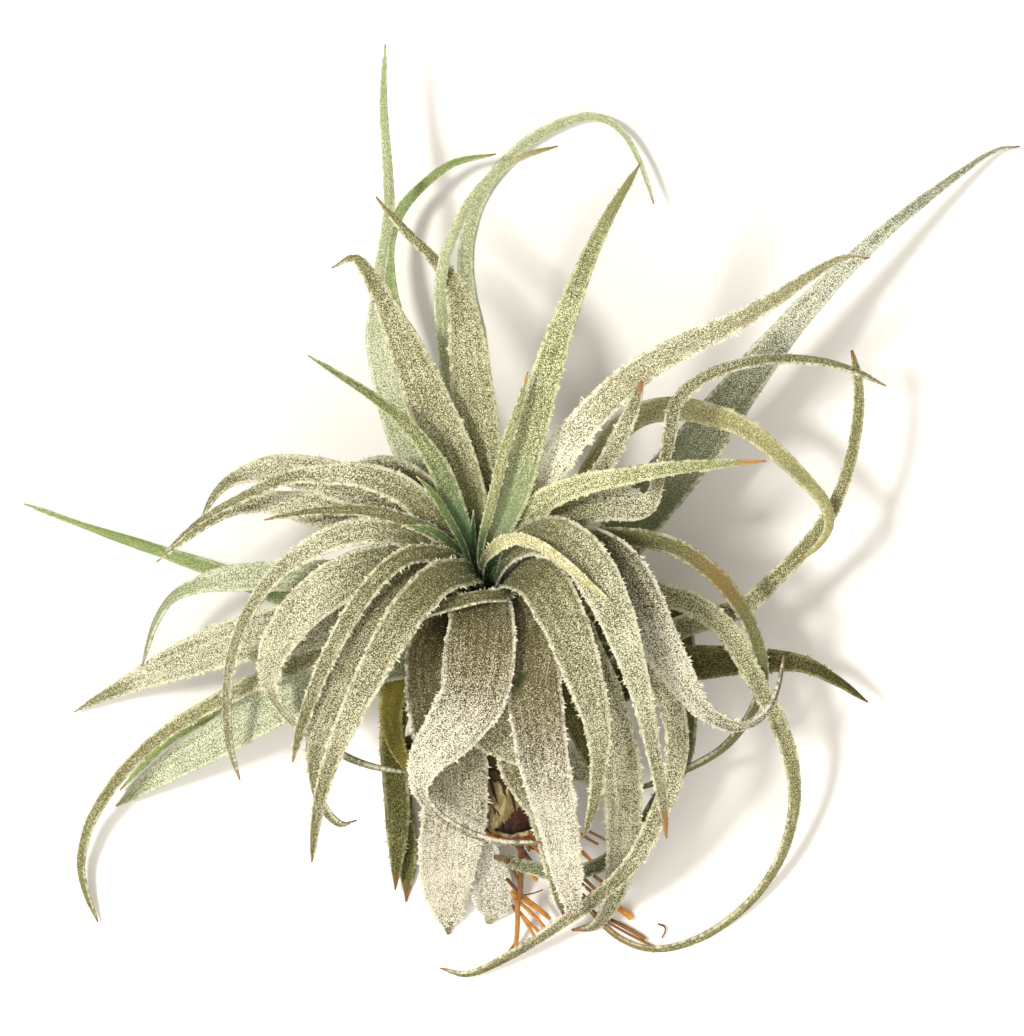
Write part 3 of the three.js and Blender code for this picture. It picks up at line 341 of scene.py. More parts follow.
# %% The leaves of the left side
LEFT_LEAVES = [
    [66, [[-12.8, -7.9, 83, 3], [-18.7, -3.9, 89, 3.4], [-27.5, 0, 93.5, 3.4], [-37.3, 2, 96, 2.8],
     [-47.2, 1.9, 95.5, 2.1], [-55.1, 0.8, 93, 1.4], [-61, -0.5, 91, 0.8]]],
    [64, [[-13.3, -6.4, 83, 4.4], [-19.7, 0.5, 89, 6.4], [-27.5, 7.2, 92.5, 7],
     [-37.4, 10.5, 93.5, 6.2], [-47.2, 10.8, 92.5, 4.6], [-57.1, 9.3, 89, 3], [-75.2, 0.5, 78, 1.7],
     [-86.3, -8.6, 70, 0.8]]],
    [55, [[-13.9, -4, 76, 6], [-21.7, 6.9, 80, 7], [-29.7, 12.2, 79, 6], [-36.6, 12.2, 74, 4],
     [-42.7, 8.9, 68, 2], [-45.7, 6, 64, 0.8]]],
    [52, [[-16.8, -6.9, 74, 7], [-26.7, 1.5, 81.5, 9], [-37.5, 6.9, 84, 9.5], [-48.4, 10.6, 82, 9],
     [-59.4, 11.9, 76, 7], [-68.4, 9.9, 69, 3.6], [-73.5, 6, 64, 2.4], [-77.6, -0.5, 59, 0.8]]],
    [40, [[-18.9, -10.9, 66, 6.5], [-28.7, -4.5, 73.5, 8], [-40.6, -0.5, 75.5, 8],
     [-51.5, 2.5, 72.5, 7.5], [-61.5, 3.7, 67, 5], [-70.6, 1.5, 61, 2.8], [-79.7, -4, 55, 1.8],
     [-88.8, -11, 50, 0.8]]],
    [57, [[-14.8, -9.4, 80, 5], [-22.2, -4.9, 87.5, 6.5], [-30.5, -3, 91, 7], [-40.4, -3.7, 91, 6.6],
     [-50.3, -7.9, 87, 5.4], [-58.8, -14.3, 81, 4], [-65.4, -23.8, 72, 3.2], [-69.6, -34.8, 62, 2.8],
     [-71.1, -45.9, 51, 2.5], [-70.6, -57.1, 41, 2], [-68.3, -65.7, 34, 0.9]]],
    [47, [[-17.8, -17.8, 73, 7], [-26.6, -11.8, 83.5, 10], [-35.5, -12.3, 86.5, 11],
     [-45.4, -17.3, 84, 11], [-54.4, -25.7, 77, 9.5], [-59.8, -35.2, 68, 7], [-59.5, -43.3, 59, 4.6],
     [-54.9, -50.4, 51, 3.4], [-46, -57.3, 44, 2.8], [-36.1, -61.9, 39, 2.3], [-24.1, -64.2, 36, 1]]],
    [30, [[-18.9, -22.9, 57, 7], [-32.8, -15.9, 63, 8], [-47.7, -14.4, 62, 8], [-69.9, -15, 51, 6.4],
     [-79.1, -17, 43, 4], [-85.2, -20.1, 37, 2.4], [-89.4, -26.1, 31, 2], [-91.6, -32.2, 27, 1.4],
     [-93.2, -37.3, 24, 0.8]]],
    [34, [[-17.9, -26.8, 62, 9], [-31.8, -23.8, 66, 12.2], [-63.9, -29.5, 48, 12],
     [-78.3, -34.1, 34, 10], [-90.7, -39.3, 21, 6.5], [-101.2, -44, 10, 3], [-111.1, -49.2, 3, 0.8]]],
    [23, [[-18, -38, 46, 9], [-29.9, -34.9, 50, 11], [-48, -40.5, 45, 12], [-77.6, -57.5, 21, 9],
     [-89, -64.8, 10, 6], [-100.5, -73.1, 0.4, 1.2]]],
    [27, [[-19.9, -31.9, 54, 5.6], [-40.5, -31.8, 54, 5.4], [-62, -40, 45, 4.3],
     [-75.2, -46.6, 37, 3.6], [-88.5, -55.1, 28, 3.2], [-98.8, -65, 20, 2.9], [-106.2, -76.3, 12, 2.6],
     [-109.1, -87.1, 7, 2.2], [-107.8, -95.3, 4, 1.7], [-105, -102.5, 2, 0.9]]],
    [16, [[-18.1, -44.2, 32, 5], [-40.3, -42.3, 26, 5], [-60.5, -45.9, 19, 4], [-76.8, -50.5, 13, 3.2],
     [-87, -56.2, 9, 2.4], [-99.4, -69, 3, 0.8]]],
    [10, [[-14.1, -46.5, 16, 6], [-36.5, -30.4, 8, 6.5], [-56.8, -20.3, 4, 5.6], [-76.1, -13, 1.5, 3.8],
     [-93.4, -7.1, 0.4, 2.6], [-108.6, -2, 0.4, 1.5], [-123.8, 3.6, 2, 0.8]]],
    [20, [[-20, -42.1, 40, 7], [-27.4, -40.1, 38, 7.4], [-30.2, -47.2, 32, 6.2], [-29.2, -56.4, 26, 5],
     [-25.2, -64.5, 22, 2.5], [-22.2, -72.6, 19, 0.9]]],
    [12, [[-17.1, -51.3, 25, 6], [-27.2, -47.4, 21, 7], [-30.2, -54.5, 17.5, 6.2],
     [-29.4, -64.7, 13.5, 6.6], [-28.8, -76.9, 9.5, 6], [-29.6, -94.3, 4, 1]]],
    [7, [[-13.1, -60.5, 18, 6], [-24.3, -57.6, 14, 7], [-28.8, -64.8, 9.5, 7.5], [-27.9, -75, 5, 7],
     [-26.4, -86.2, 2, 5], [-26.9, -97.4, 0.6, 1]]],
]

SIDES = {"heart": HEART_LEAVES, "front": FRONT_LEAVES, "right": RIGHT_LEAVES,
         "back": BACK_LEAVES, "left": LEFT_LEAVES}
LEAVES = {f"{side}_leaf_{k + 1}": row for side, rows in SIDES.items() for k, row in enumerate(rows)}
print("leaves:", len(LEAVES))

# %% [markdown]
# ## The line of a rib
#
# A living leaf has no corners, so its rib is a smooth curve through the stated points. The curve
# used here passes through every point and takes its direction from the neighbours on both sides.
# Then the blade has to face somewhere. At about the middle of an arching leaf the upper side looks
# at the sky. From there the blade is carried to the root and to the tip, turning no more than the
# curve makes it, as a strip of paper would. Every leaf starts 1.5 mm off the stem's axis.

# %% Smooth curves and the blade's facing
STEM_FOOT = np.array([1.0, -76.0, 34.0])
STEM_HEART = np.array([-9.0, -14.0, 77.0])
STEM_LONG = float(np.linalg.norm(STEM_HEART - STEM_FOOT))
STEM_WAY = (STEM_HEART - STEM_FOOT) / STEM_LONG
ROOT_DEPTH = 1.5  # millimetres from the stem's axis to where a leaf's rib starts
ROOT_WIDTH = 0.75  # width there, as a share of the first stated width
FACING_SHARE = 0.4  # share of the leaf's length at which the blade faces the sky
FINE_STEPS = 8  # steps a span in which the facing is carried along


def unit(vectors):
    """Vectors of length one along the given ones."""
    return vectors / np.maximum(np.linalg.norm(vectors, axis=-1, keepdims=True), 1e-9)


def through(points, t):
    """Smooth values through the points, at t spans along them."""
    points = np.asarray(points, float)
    ends = [2 * points[0] - points[1]], [2 * points[-1] - points[-2]]
    padded = np.concatenate([ends[0], points, ends[1]])
    t = np.clip(np.atleast_1d(t), 0, len(points) - 1)
    i = np.minimum(t.astype(int), len(points) - 2)
    u = (t - i)[:, None]
    a, b, c, d = (padded[i + k] for k in range(4))
    bend, twist = 2 * a - 5 * b + 4 * c - d, 3 * b - a - 3 * c + d
    return 0.5 * (2 * b + (c - a) * u + bend * u**2 + twist * u**3)


def carried(facing, ways):
    """The facing carried along a list of directions, turning as little as it can."""
    out = []
    for way in ways:
        facing = unit(facing - way * (facing @ way))
        out.append(facing)
    return out


def rib_line(rise, route, turns=(0,)):
    """Places, directions, facings and widths of a leaf at fine steps from its root to its tip."""
    route = np.asarray(route, float)
    on_axis = STEM_FOOT + STEM_WAY * rise
    outward = route[0, :3] - on_axis
    outward = unit(outward - STEM_WAY * (outward @ STEM_WAY))
    root = np.append(on_axis + outward * ROOT_DEPTH, route[0, 3] * ROOT_WIDTH)
    points = np.vstack([root, route])
    t = np.arange((len(points) - 1) * FINE_STEPS + 1) / FINE_STEPS
    values = through(points, t)
    ways = unit(through(points, t + 0.01)[:, :3] - through(points, t - 0.01)[:, :3])
    middle = int((len(t) - 1) * FACING_SHARE + 0.5)
    to_tip = carried(np.array([0.0, 0.0, 1.0]), ways[middle:])
    to_root = carried(np.array([0.0, 0.0, 1.0]), ways[middle::-1])
    facings = np.array(to_root[:0:-1] + to_tip)
    angle = np.radians(np.interp(t / t[-1], np.linspace(0, 1, len(turns)), turns))[:, None]
    facings = facings * np.cos(angle) + np.cross(ways, facings) * np.sin(angle)
    return values[:, :3], ways, facings, values[:, 3]


print("steps along one rib:", len(rib_line(*LEAVES["front_leaf_6"])[0]))

# %% [markdown]
# ## One leaf
#
# The blade is a shallow channel: its rib lies lower than its two margins, which stiffens it and
# leads water to the heart. It is deepest at the base, where the leaf clasps the stem. The thin tail
# is almost round and runs out to a point. Real margins aren't straight lines: the width wavers a
# little, and the rims rise and fall.
#
# It could be cut from a tube or swept along a curve, but then the margins would be as thick as the
# rib. Instead a flat grid is added, its columns are spread across the blade and its rows are laid
# along the rib, and a Solidify modifier gives it its thickness, less at the margins and at the tip,
# by a vertex group.

# %% A flat grid becomes a channelled blade
ROW_MM = 1.7  # millimetres between the rows of a blade
RIB_THICK = 1.1  # millimetres
MARGIN_THICK = 0.42
TIP_THICK = 0.35
MOST_THICK = 2.2
THICK_BY_WIDTH = 0.16  # how much thicker the rib is on each millimetre of width
TAIL_ROUND = 0.72  # thickness of a thin tail, as a share of its width
TAIL_WIDTH = 4.2  # millimetres: a blade this wide or less begins to be tail
TAIL_OVER = 1.6  # millimetres of width over which it becomes all tail
TAIL_FROM = 0.3  # share of the leaf's length before which nothing is tail
TAIL_SHALLOW = 0.6  # how much of its channel a tail loses
POINT_MM = 5.0  # millimetres over which a leaf runs out to its point
BLUNT = 0.2  # share of its width that the very point keeps
CHANNEL = 0.12  # how far the margins stand over the rib, as a share of the width
BASE_CHANNEL = 0.17  # what the clasping base adds to that
BASE_REACH = 14.0  # millimetres over which the base's channel opens
WAVER = 0.035  # how much the half widths waver, as a share
WAVER_EVERY = 4.0  # millimetres
RIPPLE_MM = 0.28  # how much the rims rise and fall
RIPPLE_EVERY = 6.0
LEAST_ROWS = 22
CELL_WIDTHS, CELLS = (6, 11), (6, 8, 10)  # cells across a blade under 6 mm wide, under 11, wider
RIM_FULL = 6.0  # millimetres: on narrower blades the pale margin is narrower too
THIN_WIDTHS, THIN_COVER = (1.5, 5.5), (0.4, 1.0)  # a blade this thin has this share of the scales
RUBBED = 1.2  # how much of the cover is gone in the middle of a bare spot
LONG_DRY = 15  # millimetres: a dry tip longer than this fades into the green slowly
UNDER_SIDE_SHADE_COVER = 0.45  # share of the upper side's cover that the lower side's colour gets: painted shade darkening the lower side
SEED = 7


def wavering(rng, along, period):
    """Smooth random values along a length, mostly between -1 and 1."""
    knots = rng.normal(0, 0.6, int(along[-1] / period) + 3)
    return np.interp(along / period, np.arange(len(knots)), knots)


def blade_shape(rng, rise, route, turns=(0,)):
    """The middle surface of a blade as rows and columns of places, normals and so on, in mm."""
    places, ways, facings, widths = rib_line(rise, route, turns)
    step = np.linalg.norm(np.diff(places, axis=0), axis=1)
    run = np.append(0, np.cumsum(step))
    count = max(LEAST_ROWS, int(run[-1] / ROW_MM))
    along = np.linspace(0, run[-1], count)

    def at(values):
        return np.stack([np.interp(along, run, v) for v in np.atleast_2d(values.T)], axis=-1)

    place, way = at(places), unit(at(ways))
    facing = at(facings)
    facing = unit(facing - way * np.sum(facing * way, axis=1, keepdims=True))
    side = np.cross(way, facing)
    to_tip = along[-1] - along
    pointed = np.clip(BLUNT + (1 - BLUNT) * to_tip / POINT_MM, 0, 1) ** 0.7
    width = np.interp(along, run, widths) * pointed
    cells = CELLS[int(np.searchsorted(CELL_WIDTHS, max(width), side="right"))]
    across = np.linspace(-1, 1, cells + 1)
    share = along / along[-1]
    depth = CHANNEL + BASE_CHANNEL * np.exp(-((along / BASE_REACH) ** 2))
    tail = np.clip((TAIL_WIDTH - width) / TAIL_OVER, 0, 1) * (share > TAIL_FROM)
    depth *= 1 - TAIL_SHALLOW * tail
    left, right = (1 + WAVER * wavering(rng, along, WAVER_EVERY) * (width > 2) for _ in range(2))
    calm = np.clip(width / 8, 0, 1)  # a narrow tail ripples less
    rims = [RIPPLE_MM * wavering(rng, along, RIPPLE_EVERY) * calm for _ in range(2)]
    half = np.where(across[None, :] < 0, left[:, None], right[:, None]) * width[:, None] / 2
    rim = np.where(across[None, :] < 0, rims[0][:, None], rims[1][:, None])
    lift = (width * depth)[:, None] * across**2 + rim * across**4
    spread = half * across * (1 - 0.12 * across**2 * (depth[:, None] - CHANNEL) / BASE_CHANNEL)
    middle = place[:, None] + side[:, None] * spread[..., None] + facing[:, None] * lift[..., None]
    thick = np.minimum(RIB_THICK, TIP_THICK + THICK_BY_WIDTH * width)
    thick = np.maximum(thick * (1 - tail), tail * np.minimum(TAIL_ROUND * width, MOST_THICK))[:, None]
    thin = np.minimum(MARGIN_THICK, thick)
    thick = thin + (thick - thin) * np.clip(1 - across**2, 0, 1) ** 0.6
    middle[..., 2] = np.maximum(middle[..., 2], thick / 2)
    normal = unit(np.cross(np.gradient(middle, axis=1), np.gradient(middle, axis=0)))
    stretch = np.clip(width / RIM_FULL, 0.35, 1)
    rim_off = (1 - np.abs(across)) * (width / 2 / stretch)[:, None]
    return {"middle": middle, "normal": normal, "side": side, "way": way, "thick": thick,
            "across": across, "along": along, "width": width, "rim": rim_off}


def clothed(shape, near, far, reach, dry_mm, bare, patch):
    """Adds how densely scales cover each place of a blade, and how dry it is, both from 0 to 1."""
    along, width = shape["along"], shape["width"]
    opened = np.clip(along / reach, 0, 1)
    opened = (opened * opened * (3 - 2 * opened)) ** 2
    row = (near + (far - near) * opened) * np.interp(width, THIN_WIDTHS, THIN_COVER)
    cover = np.repeat(row[:, None], len(shape["across"]), axis=1)
    for x, y, radius in bare:
        off = np.linalg.norm(shape["middle"][..., :2] - (x, y), axis=-1) / radius
        cover = cover - RUBBED * np.exp(-(off**2))
    dry = np.clip(1 - (along[-1] - along) / max(dry_mm, 0.01), 0, 1)
    dry = dry ** (0.5 if dry_mm < LONG_DRY else 1.3)
    if patch:
        dry = np.maximum(dry, patch[2] * np.exp(-(((along - patch[0]) / patch[1]) ** 2)))
    shape["cover"] = np.clip(cover, -0.6, 1)
    shape["dry"] = np.repeat(dry[:, None], len(shape["across"]), axis=1)


def in_metres(points_mm):
    """Millimetres of the routes' plan as metres of the frame."""
    return (points_mm - MIDDLE) * MM


def stamp(mesh, name, kind, values):
    """Writes one value a vertex into a mesh, for its material to read."""
    layer = mesh.attributes.new(name, kind, "POINT")
    values = np.asarray(values, np.float32)
    layer.data.foreach_set("vector" if kind == "FLOAT_VECTOR" else "value", values.ravel())


def flat_grid(name, columns, rows):
    """A flat grid, two units wide and selected alone, with the places of its vertices."""
    bpy.ops.object.select_all(action="DESELECT")
    bpy.ops.mesh.primitive_grid_add(x_subdivisions=columns, y_subdivisions=rows, size=2)
    piece = bpy.context.object
    piece.name = name
    flat = np.empty(len(piece.data.vertices) * 3)
    piece.data.vertices.foreach_get("co", flat)
    return piece, flat.reshape(-1, 3)


def give_wall(piece, thickness, group=""):
    """Gives the active flat piece a wall, half of it to each side, by a vertex group's shares."""
    wall = piece.modifiers.new("wall", "SOLIDIFY")
    wall.thickness = thickness
    wall.offset = 0.0
    wall.vertex_group = group
    bpy.ops.object.modifier_apply(modifier="wall")


def lay_blade(name, shape):
    """Adds a flat grid, lays it along the rib and gives it its thickness."""
    rows, columns = shape["middle"].shape[:2]
    leaf, flat = flat_grid(name, columns - 1, rows - 1)
    column = np.rint((flat[:, 0] + 1) / 2 * (columns - 1)).astype(int)
    row = np.rint((flat[:, 1] + 1) / 2 * (rows - 1)).astype(int)
    laid = in_metres(shape["middle"][row, column])
    leaf.data.vertices.foreach_set("co", laid.ravel())
    sideways, along = shape["across"][column] * shape["width"][row] / 2, shape["along"][row]
    blade = np.stack([sideways, along, along / shape["along"][-1]], axis=-1)
    stamp(leaf.data, "blade", "FLOAT_VECTOR", blade)
    for kind in ("rim", "cover", "dry"):
        stamp(leaf.data, kind, "FLOAT", shape[kind][row, column])
    group = leaf.vertex_groups.new(name="thickness")
    shares = shape["thick"][row, column] / MOST_THICK
    for vertex, share in enumerate(shares):
        group.add([vertex], min(1.0, float(share)), "REPLACE")
    give_wall(leaf, MOST_THICK * MM, "thickness")
    leaf.vertex_groups.clear()
    bpy.ops.object.shade_smooth()
    walled = np.empty(len(leaf.data.vertices) * 3)
    leaf.data.vertices.foreach_get("co", walled)
    outward = np.tile(shape["normal"][row, column], (2, 1))
    below = np.sum((walled.reshape(-1, 3) - np.tile(laid, (2, 1))) * outward, axis=1) < 0
    # the lower side is painted darker, as shade, by a lower cover
    cover = np.tile(shape["cover"][row, column], 2) * np.where(below, UNDER_SIDE_SHADE_COVER, 1.0)
    leaf.data.attributes["cover"].data.foreach_set("value", cover.astype(np.float32))
    return leaf


one_blade = blade_shape(np.random.default_rng(SEED), *LEAVES["front_leaf_6"])
print("rows and columns of one blade:", one_blade["middle"].shape[:2])

# %% [markdown]
# ## The coat of trichomes
#
# The coat is what makes this plant silver. Each trichome is a pale scale on a short foot that
# stands off the skin, and along the margins they are longer and stand in tufts like small teeth.
# A particle system of hair would look right in a picture but leave no mesh behind, and noise in a
# material alone would leave the outline smooth. So one trichome is modelled as a three-sided spike
# of four faces, and many copies are set on each blade: thick on the upper side, thin on the lower
# one, and in a dense fringe along both margins.

# %% One trichome
bpy.ops.object.select_all(action="DESELECT")
bpy.ops.mesh.primitive_cone_add(vertices=3, radius1=1, radius2=0, depth=1, location=(0, 0, 0.5))
spike = bpy.context.object
spike.name = "one_trichome"
bpy.ops.object.transform_apply(location=True)
spike_points = np.array([v.co for v in spike.data.vertices])
spike_faces = np.array([face.vertices for face in spike.data.polygons])
bpy.data.objects.remove(spike)
print("faces of a trichome:", len(spike_faces))

# %% Copies of it, each with its own place, lean, length and breadth
FACE_LONG = (0.4, 0.75)  # millimetres
FACE_BROAD = (0.12, 0.19)  # millimetres, from the spike's middle to a corner
UPRIGHT, LEAN = 0.75, 0.55  # how much a trichome stands up, and how much it leans at random
FRINGE_LONG = (0.5, 1.25)
FRINGE_BROAD = (0.2, 0.34)
UPPER_COAT = 3.4  # trichomes on each square millimetre of the upper side, where it is full
LOWER_COAT = 0.7
LEAST_COAT, COAT_BY_COVER = 0.06, 1.5  # the share of trichomes kept, at no cover and by cover
FRINGE_COAT = 2.2  # trichomes on each millimetre of a margin
FRINGE_FULL = 3.5  # millimetres: on narrower blades the fringe is thinner
FRINGE_COVER = 0.55  # how pale the fringe is, as a density of scales
TUFT_MM = 1.1  # how far the fringe's tufts stand apart
TUFT_LONG, TUFT_SWING = 0.6, 0.8  # the length in a tuft: its mean, and how much it changes
FRINGE_UP, FRINGE_ON = (0.25, 0.45), (0.2, 0.25)  # lean to the upper side and to the tip
HIDDEN_BASE = 5.0  # millimetres at the root that other leaves cover
YOUNG_BASE = 22.0  # millimetres at the root of a young leaf that are still smooth
SUNK_MM = 0.06  # how deep a trichome's foot stands in the skin


def picked(values, row, column):
    """Values of a blade's grid at places between its rows and columns."""
    r, c = np.floor(row).astype(int), np.floor(column).astype(int)
    r = np.minimum(r, values.shape[0] - 2)
    c = np.minimum(c, values.shape[1] - 2)
    u, v = (row - r), (column - c)
    if values.ndim == 3:
        u, v = u[:, None], v[:, None]
    low = values[r, c] * (1 - v) + values[r, c + 1] * v
    high = values[r + 1, c] * (1 - v) + values[r + 1, c + 1] * v
    return low * (1 - u) + high * u


def spread_over(rng, shape, per_mm2, smooth):
    """Random places all over a blade, as fractions of rows and columns."""
    width, along = shape["width"], shape["along"]
    cell = width * along[-1] / (len(along) - 1) * (along > smooth)
    total = np.append(0, np.cumsum((cell[1:] + cell[:-1]) / 2))
    count = int(total[-1] * per_mm2)
    row = np.interp(rng.random(count) * total[-1], total, np.arange(len(total)))
    return row, rng.random(count) * (len(shape["across"]) - 1)


def trichomes(rng, name, shape, coat, fringe, long, smooth):
    """The whole coat of one blade as one mesh object."""
    rows, columns = shape["middle"].shape[:2]
    smooth = min(smooth, 0.3 * shape["along"][-1])
    foot, lean, height, breadth, row, column = [], [], [], [], [], []
    for upper, per_mm2 in ((1, UPPER_COAT * coat), (-1, LOWER_COAT * coat)):
        r, c = spread_over(rng, shape, per_mm2, smooth)
        kept = rng.random(len(r)) < LEAST_COAT + COAT_BY_COVER * picked(shape["cover"], r, c)
        r, c = r[kept], c[kept]
        normal = unit(picked(shape["normal"], r, c)) * upper
        off = picked(shape["thick"], r, c)[:, None] / 2 - SUNK_MM
        foot.append(picked(shape["middle"], r, c) + normal * off)
        lean.append(normal * UPRIGHT + rng.normal(0, LEAN, normal.shape))
        height.append(rng.uniform(*FACE_LONG, len(r)) * long)
        breadth.append(rng.uniform(*FACE_BROAD, len(r)))
        row.append(r)
        column.append(c)
    for outward, at_column in ((-1, 0), (1, columns - 1)):  # both margins
        start = int(np.searchsorted(shape["along"], smooth))
        count = int((shape["along"][-1] - shape["along"][start]) * FRINGE_COAT * fringe)
        r = np.sort(rng.uniform(start, rows - 1, count))
        r = r[rng.random(count) < np.interp(r, np.arange(rows), shape["width"]) / FRINGE_FULL]
        count = len(r)
        c = np.full(count, float(at_column))
        along = np.interp(r, np.arange(rows), shape["along"])
        tuft = np.clip(TUFT_LONG + TUFT_SWING * wavering(rng, along, TUFT_MM), 0.15, 1.5)
        side = picked(np.repeat(shape["side"][:, None], columns, axis=1), r, c) * outward
        way = picked(np.repeat(shape["way"][:, None], columns, axis=1), r, c)
        normal = unit(picked(shape["normal"], r, c))
        foot.append(picked(shape["middle"], r, c) - side * SUNK_MM * 2)
        up = rng.normal(*FRINGE_UP, (count, 1))
        lean.append(side + normal * up + way * rng.normal(*FRINGE_ON, (count, 1)))
        height.append(rng.uniform(*FRINGE_LONG, count) * tuft * long)
        breadth.append(rng.uniform(*FRINGE_BROAD, count))
        row.append(r)
        column.append(c)
    foot, lean = np.concatenate(foot), unit(np.concatenate(lean))
    height, breadth, row, column = map(np.concatenate, (height, breadth, row, column))
    width = np.interp(row, np.arange(rows), shape["width"])
    height *= np.clip(0.45 + width / 5, 0.5, 1.0)
    across = unit(np.cross(lean, rng.normal(0, 1, lean.shape)))
    other = np.cross(lean, across)
    frame_of = np.stack([across * breadth[:, None], other * breadth[:, None], lean * height[:, None]])
    points = np.einsum("kni,vk->nvi", frame_of, spike_points) + foot[:, None]
    points[..., 2] = np.maximum(points[..., 2], 0.02)
    count, corners = points.shape[:2]
    faces = spike_faces[None] + (np.arange(count) * corners)[:, None, None]
    mesh = bpy.data.meshes.new(name)
    mesh.from_pydata(in_metres(points.reshape(-1, 3)), [], faces.reshape(-1, 3))
    along = np.interp(row, np.arange(rows), shape["along"])
    across_share = np.interp(column, np.arange(columns), shape["across"])
    blade = np.stack([across_share * width / 2, along, along / along.max()], axis=-1)
    stamp(mesh, "blade", "FLOAT_VECTOR", np.repeat(blade, corners, axis=0))
    stamp(mesh, "dry", "FLOAT", np.repeat(picked(shape["dry"], row, column), corners))
    at_margin = (column == 0) | (column == columns - 1)
    cover = np.where(at_margin, FRINGE_COVER, picked(shape["cover"], row, column))
    stamp(mesh, "cover", "FLOAT", np.repeat(cover, corners))
    stamp(mesh, "tone", "FLOAT", np.repeat(rng.random(count), corners))
    coat_piece = bpy.data.objects.new(name, mesh)
    bpy.context.collection.objects.link(coat_piece)
    return coat_piece


print("trichomes a square millimetre:", UPPER_COAT)

# %% [markdown]
# ## The skin and the trichomes as finishes
#
# Under the coat the leaf's skin is a waxy olive, matt like suede. Between the scales it shows as
# darker grains, a third of a millimetre wide, and along the veins as faint streaks. Near the heart
# the scales are few and small, so the leaf looks green there, then olive; this darkening is partly
# the young tissue's own green and partly painted shade among the leaves, and the bases deep in the
# heart are painted darkest, as the shade of the pit. Farther out the scales widen and close up to
# silver, and on the thin tail they are few again. At the tip the leaf dries to brown. Along the
# margin the scales overlap in small tufts and make it pale. Where the scales were rubbed off, the
# bare tissue shows as a dark green spot. The lower side has less cover than the upper one, which
# paints it darker as shade.
#
# The pattern reads two things: Object coordinates for the grains, and the blade's own measures for
# what follows the leaf: how far across the rib, how far from the root, how far from the margin, how
# densely scales cover it and how dry it is. Both finishes of a look, skin and trichomes, share
# their tints.

# %% The looks that the leaves have
GRAIN_MM = 0.3  # a grain of the speckle
STREAK_MM = 1.2  # between two veins
PATCH_MM = 9.0  # clouds of thicker and thinner coat
RIM_MM = 1.0  # how wide the pale margin is
TUFTS_PER_MM = 0.9  # along the margin
BARE_TISSUE = "#2c431f"

LOOKS = {
    # skin, grain, thin scales, thick scales, young tissue, whose tint also paints shade near the heart,
    # dry tissue, cover near the heart and far out, whose thin start near the heart is partly painted
    # shade, the millimetres between the two, and those of young tissue
    "silver": ("#6c6746", "#38331d", "#b1ab8b", "#ece7d0", "#6f7548", "#8b5a2b", 0.1, 0.48, 90, 26),
    "warm": ("#6b6442", "#38301b", "#b0a785", "#f0ead4", "#7b7b50", "#94602e", 0.06, 0.55, 85, 24),
    "straw": ("#75714a", "#433f23", "#aeaa80", "#e9e5c6", "#6f784a", "#94602e", 0.13, 0.37, 75, 30),
    "celadon": ("#82875a", "#565e35", "#b4b78a", "#e1dfb4", "#84966e", "#8f8a58", 0.12, 0.37, 55, 60),
    "mint": ("#959766", "#626640", "#c2c295", "#e6e3ba", "#66804f", "#b8803f", 0.12, 0.42, 45, 34),
    "moss": ("#777d4e", "#4a522c", "#a1a478", "#cfcea2", "#537352", "#8f7d4a", 0.08, 0.4, 55, 56),
    "spire": ("#6d7e46", "#4a5c32", "#98a474", "#bfc398", "#304a24", "#c9bd84", 0.04, 0.25, 44, 40),
    "lemon": ("#bdb57c", "#908852", "#dcd5a6", "#fbf6d4", "#5f7440", "#b8702e", 0.2, 0.58, 34, 18),
    "pale": ("#7b7952", "#504e2f", "#b3b08c", "#e6e3c6", "#6c7248", "#a0703c", 0.1, 0.43, 70, 24),
    "sage": ("#807d52", "#585633", "#aeaa81", "#e2dfbc", "#72794a", "#8a5a2e", 0.1, 0.37, 60, 46),
    "dusk": ("#83876a", "#62664a", "#b0b292", "#e6e5cf", "#5c6440", "#8a5a2e", 0.0, 0.6, 170, 20),
    "gold": ("#a09c66", "#7b774a", "#bab588", "#dcd8b2", "#8e8c58", "#8a6038", 0.2, 0.3, 60, 16),
    "thread": ("#a9b085", "#868e63", "#c8cda6", "#e6e8cc", "#758b4c", "#8a6a35", 0.1, 0.42, 40, 16),
    # a pale look whose cover is densest near the heart: a painted highlight on the leaf's rising base,
    # where the light falls
    "pale_lit_base": ("#a39e76", "#6c6742", "#cdc9a2", "#f8f5de", "#858a5c", "#8a5a2e", 0.85, 0.3, 80, 12),
    "tawny": ("#73744a", "#50502f", "#a19e7a", "#d0ccac", "#5c6038", "#8d6a3a", 0.33, 0.12, 80, 14),
    "frost": ("#96937c", "#67644a", "#c4c1ac", "#efecdf", "#6f7f52", "#a08a60", 0.3, 0.42, 55, 16),
    "cool": ("#8c936c", "#6f7653", "#b5ba94", "#dcdfc2", "#6f7f52", "#8a6a35", 0.15, 0.42, 55, 16),
    "bright": ("#8b9a60", "#70834b", "#a6b27c", "#cdd5aa", "#758b4c", "#8a6a35", 0.05, 0.3, 30, 16),
    "dark": ("#585626", "#383615", "#888657", "#aca980", "#38451f", "#7a5a34", 0.02, 0.27, 80, 20),
    "ochre": ("#7a702a", "#50491b", "#988f52", "#b8ae74", "#5d5c26", "#7a5a34", 0.02, 0.3, 80, 20),
    "shaded": ("#5c5e35", "#484a26", "#8d9068", "#c0c2a6", "#38451f", "#7a5a34", 0.0, 0.5, 190, 20),
    # a darker copy of the speckled silver skin for leaves that lie in shade: painted shade
    "shaded_slate": ("#4d4a24", "#302e14", "#757143", "#9b9666", "#3a3f26", "#6b4423", 0.02, 0.3, 60, 16),
}
COVER_LIFT = 0.32  # how much a full cover lifts the pattern that the scales close up by
HEART_BASE_GREEN_AND_SHADE = "#22381a"  # the green of the bare base deep in the heart, darkened as painted shade of the pit there
